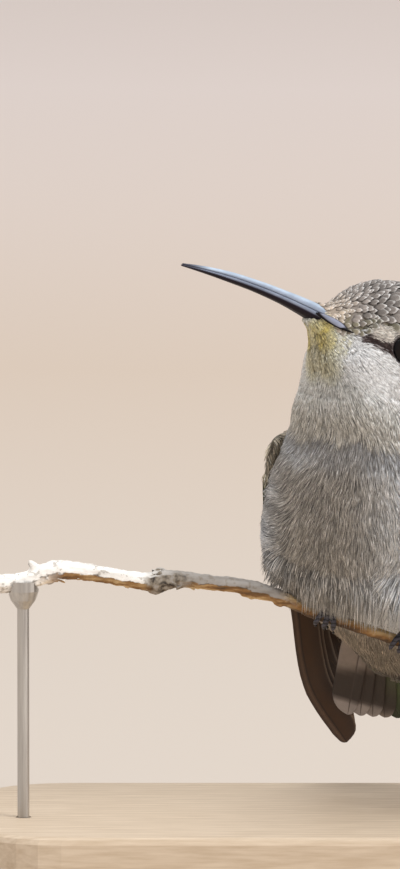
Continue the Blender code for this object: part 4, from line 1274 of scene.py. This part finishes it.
class Vanes:  # gathers flight feathers and lays them as one mesh
    def __init__(self):
        self.points, self.shades, self.vanes, self.places = [], [], [], []

    def add(self, line, normals, left, right, colour, bow=0.12, tip=0.35, seed=0):
        # line and normals: points from the perch and the outward side; left and right: half widths
        rng = np.random.default_rng(seed)
        t = 1.0 - (1.0 - np.linspace(0.0, 1.0, vaneRows)) ** 1.8
        spots = np.linspace(0.0, 1.0, len(line))
        core = np.stack([np.interp(t, spots, np.array(line)[:, k]) for k in range(3)], axis=1)
        up = unit(np.stack([np.interp(t, spots, np.array(normals)[:, k]) for k in range(3)], axis=1))
        way = unit(np.gradient(core, axis=0))
        up = unit(up - way * dot(way, up))
        side = np.cross(way, up)
        swell = 0.3 + 0.7 * ease(0.0, 0.25, t)
        swell = swell * np.sqrt(np.maximum(1.0 - np.maximum((t - 1.0 + tip) / tip, 0.0) ** 2, 0.0004))
        reach = np.where(vaneAcross[None, :] < 0, left, right) * vaneAcross[None, :] * swell[:, None]
        reach = reach + rng.normal(0.0, 0.012, reach.shape) * (np.abs(vaneAcross) > 0.9)
        shaft = 0.05 * (vaneAcross == 0.0)[None, :] * (1 - t)[:, None]
        high = -bow * (vaneAcross ** 2)[None, :] * swell[:, None] + shaft
        top = core[:, None] + side[:, None] * reach[..., None] + up[:, None] * high[..., None]
        under = top - up[:, None] * (0.06 * (1.0 - np.abs(vaneAcross) ** 4) + 0.015)[None, :, None]
        both = np.concatenate([top.reshape(-1, 3), under.reshape(-1, 3)])
        grid = np.broadcast_arrays(t[:, None], vaneAcross)
        shade = linear(np.clip(colour(*(g.reshape(-1) for g in grid)), 0.0, 1.0))
        place = np.stack([grid[1] * 0.5 + 0.5, grid[0]], axis=-1).reshape(-1, 2)
        self.points.append((both + perchAt) * mm)
        self.shades.append(np.concatenate([shade, shade]))
        self.vanes.append(np.concatenate([place, place]))
        k = len(self.places)
        spot = place * (0.085, 0.155) + ((k % 10) * 0.1 + 0.005, ((k // 10) % 6) * 0.165 + 0.005)
        self.places.append(np.concatenate([spot, spot]))

    def lay(self, name, slot, paint, *nodes):
        obj = layMesh(name, np.array(self.points), shellFaces(vaneRows, vaneColumns), np.array(self.shades),
                      np.array(self.places), np.array(self.vanes))
        flipFaces(obj)
        keep(obj, slot, paint, *nodes)
        print(f"{name}: {len(self.points)} feathers, {len(obj.data.polygons) * 2} triangles")


def wingColour(kind, outer=False):
    tone = {key: tint(wingSpec, key) for key in ("brown", "strip", "shaft", "edge", "groove", "covert", "covertEdge")}

    def colour(t, across):
        if kind == "covert":
            rim = (np.maximum(ease(0.88, 0.99, t), ease(0.82, 1.0, np.abs(across)) * 0.6) * 0.7)[:, None]
            return mixed(tone["covert"] * (0.7 + 0.3 * t[:, None]), tone["covertEdge"], rim)
        base = np.repeat(tone["brown"][None], len(t), axis=0) * (0.9 + 0.1 * t[:, None])
        if kind == "inner":
            base = base + (tone["covert"] * 0.85 - base) * ease(1.0, 0.72, t)[:, None]
        if outer:
            base = mixed(base, tone["strip"], ease(0.0, 0.35, -across)[:, None])
        # a painted shadow line just inside each feather's pale edge
        groove = ease(0.6, 0.8, np.abs(across)) * (0.25 if kind == "inner" else 0.6)
        base = mixed(base, tone["groove"], groove[:, None])
        base = mixed(base, tone["edge"], (ease(0.86, 1.0, np.abs(across)) * 0.9)[:, None])
        return np.where((np.abs(across) < 0.03)[:, None], tone["shaft"], base)
    return colour


def makeWingBed(side, sign):  # the arm of the wing under its small coverts, rounded along its edges
    bed = ball("wing_arm_" + side, 40, 30)
    made = []
    for x, y, z in coords(bed.data).tolist():
        edge = max(1.0 - z * z, 0.0) ** 0.25
        wide = math.hypot(x, y) or 1.0
        chord = 0.54 + 0.58 * x / wide * edge
        thick = 0.42 * (0.75 + 0.25 * z) * y / wide * edge
        made.append(wingPlace(0.6 - 0.85 * z, chord, sign, 0.3 + thick))
    setCoords(bed.data, (np.array(made) + perchAt) * mm)
    mergeDoubles(bed, 1e-8)
    unwrap(flipFaces(bed))
    smoothShade(bed)
    keep(bed, "plumage_flight", skinPaint)
    paintPoints(bed.data, linear(covertShade(coords(bed.data) / mm - perchAt) * 0.6))
    return bed


def covertShade(q, n=None):  # greyish at the bend of the wing, painted paler as light against the body's shadow there, green behind it
    far = ease(3.8, 0.4, inBody(q)[:, 0])[:, None]
    return mixed(np.array(wingSpec["bend"]), np.array(wingSpec["covert"]), far) / 255.0


covertTries = 9000  # places tried for the small coverts of a wing


def makeWing(side):
    sign = 1.0 if side == "left" else -1.0
    vanes = Vanes()

    def row(s0, c0, s1, c1, half, colour, out, tip=0.4, bow=0.12, seed=0, bend=1.4, lead=0.5):
        line, normals = [], []
        for t in np.linspace(0.0, 1.0, 40):
            s, c = s0 + (s1 - s0) * t, c0 + (c1 - c0) * t ** bend
            here, above = wingPlace(s, c, sign, out), wingPlace(s, c, sign, out + 0.5)
            line.append(here)
            normals.append(above - here)
        # the left edge of a vane is the wing's leading edge on the bird's right side, and mirrored on its left
        first, second = (half * 2 * lead, half * 2 * (1 - lead))
        left, right = (second, first) if sign > 0 else (first, second)
        swap = (lambda t, a: colour(t, -a)) if sign > 0 else colour
        vanes.add(line, normals, left, right, swap, bow, tip, seed=seed)

    for k, tipAt in enumerate(wingSpec["tips"]):  # primaries, the innermost on top
        share = k / 9.0
        end = 0.88 - 0.4 * ease(0.7, 1.0, share)
        row(0.75, 0.5 - 0.38 * share, tipAt, end, 1.75 - 0.35 * share, wingColour("flight", k == 9),
            0.34 - 0.42 * share, tip=0.24 - 0.15 * share, seed=k, lead=0.42 - 0.16 * share,
            bend=1.4 + 8.0 * share ** 3)
    for k in range(6):  # secondaries
        share = k / 5.0
        row(0.95 - 0.15 * share, 0.52 + 0.3 * share, 2.5 - 0.85 * share, 0.84 + 0.08 * share, 1.4 - 0.2 * share,
            wingColour("inner"), 0.26 + 0.02 * k, tip=0.4, seed=20 + k)
    for s0, s1, half, out in ((0.8, 2.0, 0.78, 0.52), (0.6, 1.6, 0.7, 0.66)):  # greater, median coverts
        for k in range(12):
            c = (k + 0.5) / 12
            row(s0, c * 1.06, s1 + 0.16 * math.sin(math.pi * c), c * 0.98, half, wingColour("covert"), out, tip=0.4,
                bow=0.1, seed=40 + k + int(s0 * 100), bend=1.0)
    vanes.lay("wing_feathers_" + side, "plumage_flight", vanePaint, "wing_" + side)
    bed = makeWingBed(side, sign)
    wingGround = Ground(bed)
    tipAt = wingPlace(6.0, 0.5, sign)

    def towardsTip(q, n):
        way = unit(tipAt - q)
        return unit(way - n * dot(way, n))

    def size(q):
        return 0.8 + 0.55 * ease(3.0, 14.0, np.linalg.norm(q - wingPlace(-0.2, 0.2, sign), axis=1))

    spec = {"width": size, "ratio": 1.35, "jitter": 0.12, "lift": 1.0, "cup": 0.1, "vary": 0.09, "dark": 0.8,
            "pale": 1.5, "rim": wingSpec["covertEdge"], "flow": towardsTip, "shade": covertShade,
            "depth": flat(0.26)}
    point, normal, place = wingGround.scatter(covertTries, 70)
    kept = thinOut(point / mm, size(point / mm - perchAt) * 0.5)
    kept = kept[inBody(point[kept] / mm - perchAt)[:, 0] < 2.4]
    layScales("wing_coverts_" + side, "plumage_flight", scalePaint, wingGround,
              (point[kept], normal[kept], place[kept]), spec, 71)
    kept = thinOut(point / mm, np.full(len(point), 0.36))
    kept = kept[inBody(point[kept] / mm - perchAt)[:, 0] > 1.0]
    soft = {**breastSpec, "length": flat(2.2), "flow": towardsTip, "shade": covertShade, "depth": spec["depth"],
            "lift": 1.6, "girth": 0.09, "root": 0.85}
    layBarbs("wing_bend_" + side, "plumage_flight", downPaint, wingGround,
             (point[kept], normal[kept], place[kept]), soft, 73)


# white: the tips' white painted light grey, as white in shade
tailSpec = {"root": (-12.6, -2.4), "pitch": 45.5, "length": 15.4, "count": 10, "rootHalf": 3.2, "spread": 12.0,
            "fork": 0.9, "half": 1.75, "green": (86, 96, 66), "grey": (138, 127, 120), "black": (60, 51, 46),
            "white": (158, 150, 148), "shaft": (70, 60, 56)}


def makeTail():
    spec = tailSpec
    lean = math.radians(spec["pitch"])
    along = np.array((-math.cos(lean), 0.0, -math.sin(lean)))
    above = np.array((-math.sin(lean), 0.0, math.cos(lean)))
    vanes = Vanes()
    tone = {key: tint(spec, key) for key in ("green", "grey", "black", "white", "shaft")}
    for k in range(spec["count"]):
        share = (k + 0.5) / spec["count"] * 2.0 - 1.0
        angle = math.radians(spec["spread"] * share)
        ahead = along * math.cos(angle) + np.array((0.0, math.sin(angle), 0.0))
        start = np.array((spec["root"][0], share * spec["rootHalf"], spec["root"][1]))
        start = start + above * (0.28 - 0.55 * abs(share))
        length = spec["length"] - spec["fork"] * (1.0 - abs(share))
        line = [fromBody(*(start + ahead * length * t - above * 0.25 * t * t)) for t in np.linspace(0.0, 1.0, 8)]
        middleOne = abs(share) < 0.25

        def colour(t, across, middleOne=middleOne, outer=abs(share)):
            if middleOne:
                base = tone["green"] * (1 - 0.35 * ease(0.6, 1.0, t)[:, None])
            else:
                band = ease(0.42, 0.56, t + 0.05 * across) * ease(1.02, 0.9, t + 0.04 * np.abs(across))
                # painted shade: the white tips at a light grey
                white = ease(0.86, 0.93, t + 0.05 * outer) * ease(0.2, 0.6, outer)
                base = mixed(mixed(tone["grey"], tone["black"], band[:, None]), tone["white"], white[:, None])
                base = mixed(base, tone["green"], ease(0.55, 0.3, outer) * 0.6 * ease(0.9, 0.5, t)[:, None])
            return np.where((np.abs(across) < 0.03)[:, None], tone["shaft"], base)

        left, right = spec["half"] * (0.85 - 0.35 * share), spec["half"] * (0.85 + 0.35 * share)
        vanes.add(line, [fromBody(*above)] * 8, left, right, colour, 0.1, 0.24, seed=90 + k)
    vanes.lay("tail_feathers", "plumage_flight", vanePaint, "tail")


def vanePaintOf():
    paint = Paint("flight_feathers", Roughness=0.5, Specular_IOR_Level=0.2, Sheen_Weight=0.03)
    u, v, _ = paint.split(paint.attribute("vane", "Vector"))
    line = (v * 420.0 - abs(u - 0.5) * 260.0).sine() * 0.5 + 0.5
    cloud = paint.noise(900.0, 3.0)
    tone = paint.ramp(cloud * 0.6 + line * 0.4, (0.3, 0.78), (0.7, (1.14, 1.12, 1.1)))
    paint.feed("Base Color", paint.blend(1.0, paint.attribute("marking"), tone, "MULTIPLY"))
    paint.feed("Roughness", 0.42 + cloud * 0.22)
    paint.bump(line, 0.25, 0.00003)
    return paint.material


vanePaint = vanePaintOf()
makeWing("left")
makeWing("right")
makeTail()


# Twig: bark over the solid, pale above as bleached bark with painted sunlight on it, orange-brown below and darker
# underneath near the bird as painted shade, with flakes of peeling bark

# flakes: place along the twig, turn, length and width; lumps: place, turn and size
twigSpec = {"voxel": 0.13, "sunlitBleach": srgb(252, 247, 240), "cool": srgb(168, 161, 154),
            "wood": srgb(212, 182, 134), "rust": srgb(152, 112, 66), "brown": srgb(84, 64, 46),
            "rough": srgb(140, 128, 112), "dark": srgb(44, 34, 27),
            "flakes": ((-34.6, 200, 2.6, 0.7), (-33.0, 172, 2.2, 0.6), (-31.4, 190, 1.8, 0.8),
                       (-30.6, 150, 1.2, 0.5), (-27.5, 165, 1.3, 0.4), (-24.2, 185, 1.1, 0.45),
                       (-22.9, 200, 1.3, 0.5), (-20.6, 30, 0.9, 0.6), (-20.4, 330, 0.9, 0.6),
                       (-19.2, 120, 1.2, 0.6), (-18.0, 150, 1.3, 0.6), (-17.0, 185, 1.0, 0.5)),
            "lumps": ((-20.9, 178, 0.75), (-20.2, 350, 0.5), (-11.6, 178, 0.5), (-10.9, 186, 0.42),
                      (-8.2, 184, 0.55), (-31.3, 190, 0.5), (-7.6, 90, 0.4))}


def barkPaintOf():
    spec = twigSpec
    paint = Paint("bark", Roughness=0.8)
    at = paint.split(paint.place())[0] * 1000.0 - 8.0  # millimetres from the perch
    up = paint.split(paint.node("ShaderNodeNewGeometry", out="Normal"))[2]
    grain = paint.noise(1500.0, 5.0, vector=paint.stretched((0.12, 1.0, 1.0), (0.0, 0.12, 0.0)))
    patch = paint.noise(420.0, 4.0)
    speck = paint.noise(1700.0, 2.0)
    high = up * 0.5 + 0.5 + (patch - 0.5) * 0.35 + (grain - 0.5) * 0.25
    skin = paint.ramp(high, (0.36, 0.0), (0.42, 1.0))  # bark above, bare wood below
    # the far left end all pale bark: bleached, with painted sunlight on it
    pale = paint.ramp(at, (-32.5, 1.0), (-30.0, 0.0), over=(-40.0, 10.0))
    skin = 1.0 - (1.0 - skin) * (1.0 - pale * 0.85)
    rim = paint.ramp(high, (0.34, 0.0), (0.4, 1.0), (0.47, 0.0))
    bare = paint.ramp(grain * 0.7 + patch * 0.3, (0.34, spec["brown"]), (0.47, spec["rust"]), (0.6, spec["wood"]))
    cool = paint.ramp(at, (-22.0, 0.0), (-19.0, 1.0), over=(-40.0, 10.0))
    # the pale bark: bleached, with painted sunlight on it, greyer near the bird
    bark = paint.blend(cool, spec["sunlitBleach"], spec["cool"])
    bark = paint.blend(paint.ramp(speck, (0.58, 0.0), (0.64, 0.5)), bark, spec["rough"])
    colour = paint.blend(skin, bare, bark)
    colour = paint.blend(rim * paint.ramp(speck, (0.44, 0.0), (0.54, 0.7)), colour, spec["dark"])
    node = paint.ramp(at + (patch - 0.5) * 3.0, (-21.9, 0.0), (-21.0, 1.0), (-18.2, 0.9), (-16.4, 0.0),
                      over=(-40.0, 10.0))
    rough = paint.ramp(paint.noise(1300.0, 5.0), (0.38, spec["dark"]), (0.52, spec["rough"]), (0.66, spec["cool"]))
    above = paint.ramp(high, (0.78, 1.0), (0.9, 0.25))
    colour = paint.blend(node * above, colour, rough)
    # painted shade near the bird: dark brown on the underside, pale wood on top
    inner = paint.ramp(at + (patch - 0.5) * 2.0, (-8.4, 0.0), (-6.6, 1.0), over=(-40.0, 10.0))
    warm = paint.ramp(high + (grain - 0.5) * 0.5, (0.2, spec["brown"]), (0.45, spec["rust"]), (0.8, spec["wood"]))
    colour = paint.blend(inner, colour, warm)
    tone = paint.ramp(grain, (0.3, (0.76, 0.74, 0.72)), (0.6, 1.04))
    paint.feed("Base Color", paint.blend(1.0, colour, tone, "MULTIPLY"))
    paint.bump(grain * 0.6 + patch * 0.4, 0.7, 0.00014)
    return paint.material


def twigSpot(x, turn, out):  # a place on the twig's side, turned from straight up, and the axes there
    root, ahead, up, front, radius = twigNear(x)
    turn = math.radians(turn)
    way = up * math.cos(turn) + front * math.sin(turn)
    return root + way * (radius + out), ahead, way


def makeTwig():
    twig = copyNode("twig", "barked_twig")
    lumps = []
    for x, turn, size in twigSpec["lumps"]:
        spot, ahead, way = twigSpot(x, turn, -0.35 * size)
        deselect()
        bpy.ops.mesh.primitive_ico_sphere_add(subdivisions=3, radius=1.0)
        axes = (ahead * size * 1.2, way * size * 0.8, ahead.cross(way) * size * 0.9)
        lumps.append(put(bpy.context.object, spot, axes))
    twig = joinAll([twig] + lumps, "barked_twig")
    applied(twig, "REMESH", mode="VOXEL", voxel_size=twigSpec["voxel"] * mm, use_smooth_shade=True)
    applied(twig, "SMOOTH", factor=0.5, iterations=3)
    for kind, size, strength in (("CLOUDS", 0.9, 0.22), ("CLOUDS", 0.35, 0.12)):
        texture = bpy.data.textures.new(f"bark_{size}", kind)
        texture.noise_scale = size * mm
        applied(twig, "DISPLACE", texture=texture, texture_coords="LOCAL", strength=strength * mm, mid_level=0.6)
    smoothShade(twig)
    keep(twig, "bark", barkPaint, "twig")
    flakes = []
    for k, (x, turn, length, width) in enumerate(twigSpec["flakes"]):  # curled slips of loose bark
        spot, ahead, way = twigSpot(x, turn, -0.16)
        deselect()
        bpy.ops.mesh.primitive_grid_add(x_subdivisions=14, y_subdivisions=6, size=2.0)
        flake = bpy.context.object
        u, v, _ = coords(flake.data).T
        lift = (0.1 + 0.42 * ease(-0.6, 1.0, u * (1 if k % 2 else -1)) ** 2) * width - 0.3 * v * v * width
        ragged = 1.0 + 0.16 * np.sin(u * 9.0 + k) + 0.1 * np.sin(u * 21.0 + 2 * k)
        wide = v * ragged * (1.0 - 0.4 * u * u) * width / 2
        points = (np.array(spot) + perchAt + (u * length / 2)[:, None] * np.array(ahead) +
                  wide[:, None] * np.array(ahead.cross(way)) + lift[:, None] * np.array(way))
        setCoords(flake.data, points * mm)
        applied(flake, "SOLIDIFY", thickness=0.07 * mm)
        flakes.append(flipFaces(smoothShade(flake)))
    keep(joinAll(flakes, "loose_bark"), "bark", barkPaint)


barkPaint = barkPaintOf()
makeTwig()
print("twig done")


# Stand: plain waxed wood and brushed steel on the solids as they are

def woodPaintOf():
    paint = Paint("waxed_wood", Roughness=0.5, Specular_IOR_Level=0.3)
    rings = paint.node("ShaderNodeTexWave", {"bands_direction": "Y"},
                       {"Vector": paint.stretched((6.0, 60.0, 60.0)), "Scale": 3.2, "Distortion": 5.0, "Detail": 3.0,
                        "Detail Scale": 1.4}, "Fac")
    pores = paint.noise(260.0, 4.0, vector=paint.stretched((0.8, 9.0, 9.0)))
    tone = paint.ramp(rings * 0.1 + pores * 0.9, (0.3, srgb(194, 172, 146)), (0.72, srgb(216, 196, 172)))
    paint.feed("Base Color", tone)
    paint.feed("Roughness", 0.5 + pores * 0.2)
    paint.bump(pores, 0.2, 0.00008)
    return paint.material


def steelPaintOf():
    paint = Paint("brushed_steel", Roughness=0.35, Metallic=1.0)
    grain = paint.noise(2400.0, 3.0, vector=paint.stretched((1.0, 1.0, 0.04)))
    paint.feed("Base Color", paint.ramp(grain, (0.3, srgb(176, 172, 168)), (0.7, srgb(208, 204, 198))))
    paint.feed("Roughness", 0.28 + grain * 0.2)
    paint.bump(grain, 0.15, 0.00003)
    return paint.material


wood, steel = woodPaintOf(), steelPaintOf()
for node, paint in (("stand_base", wood), ("stand_rod_left", steel), ("stand_rod_right", steel)):
    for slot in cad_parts[node].material_slots:
        slot.material = paint
print("stand done")

print("coat:", coatTotal[0], "triangles")
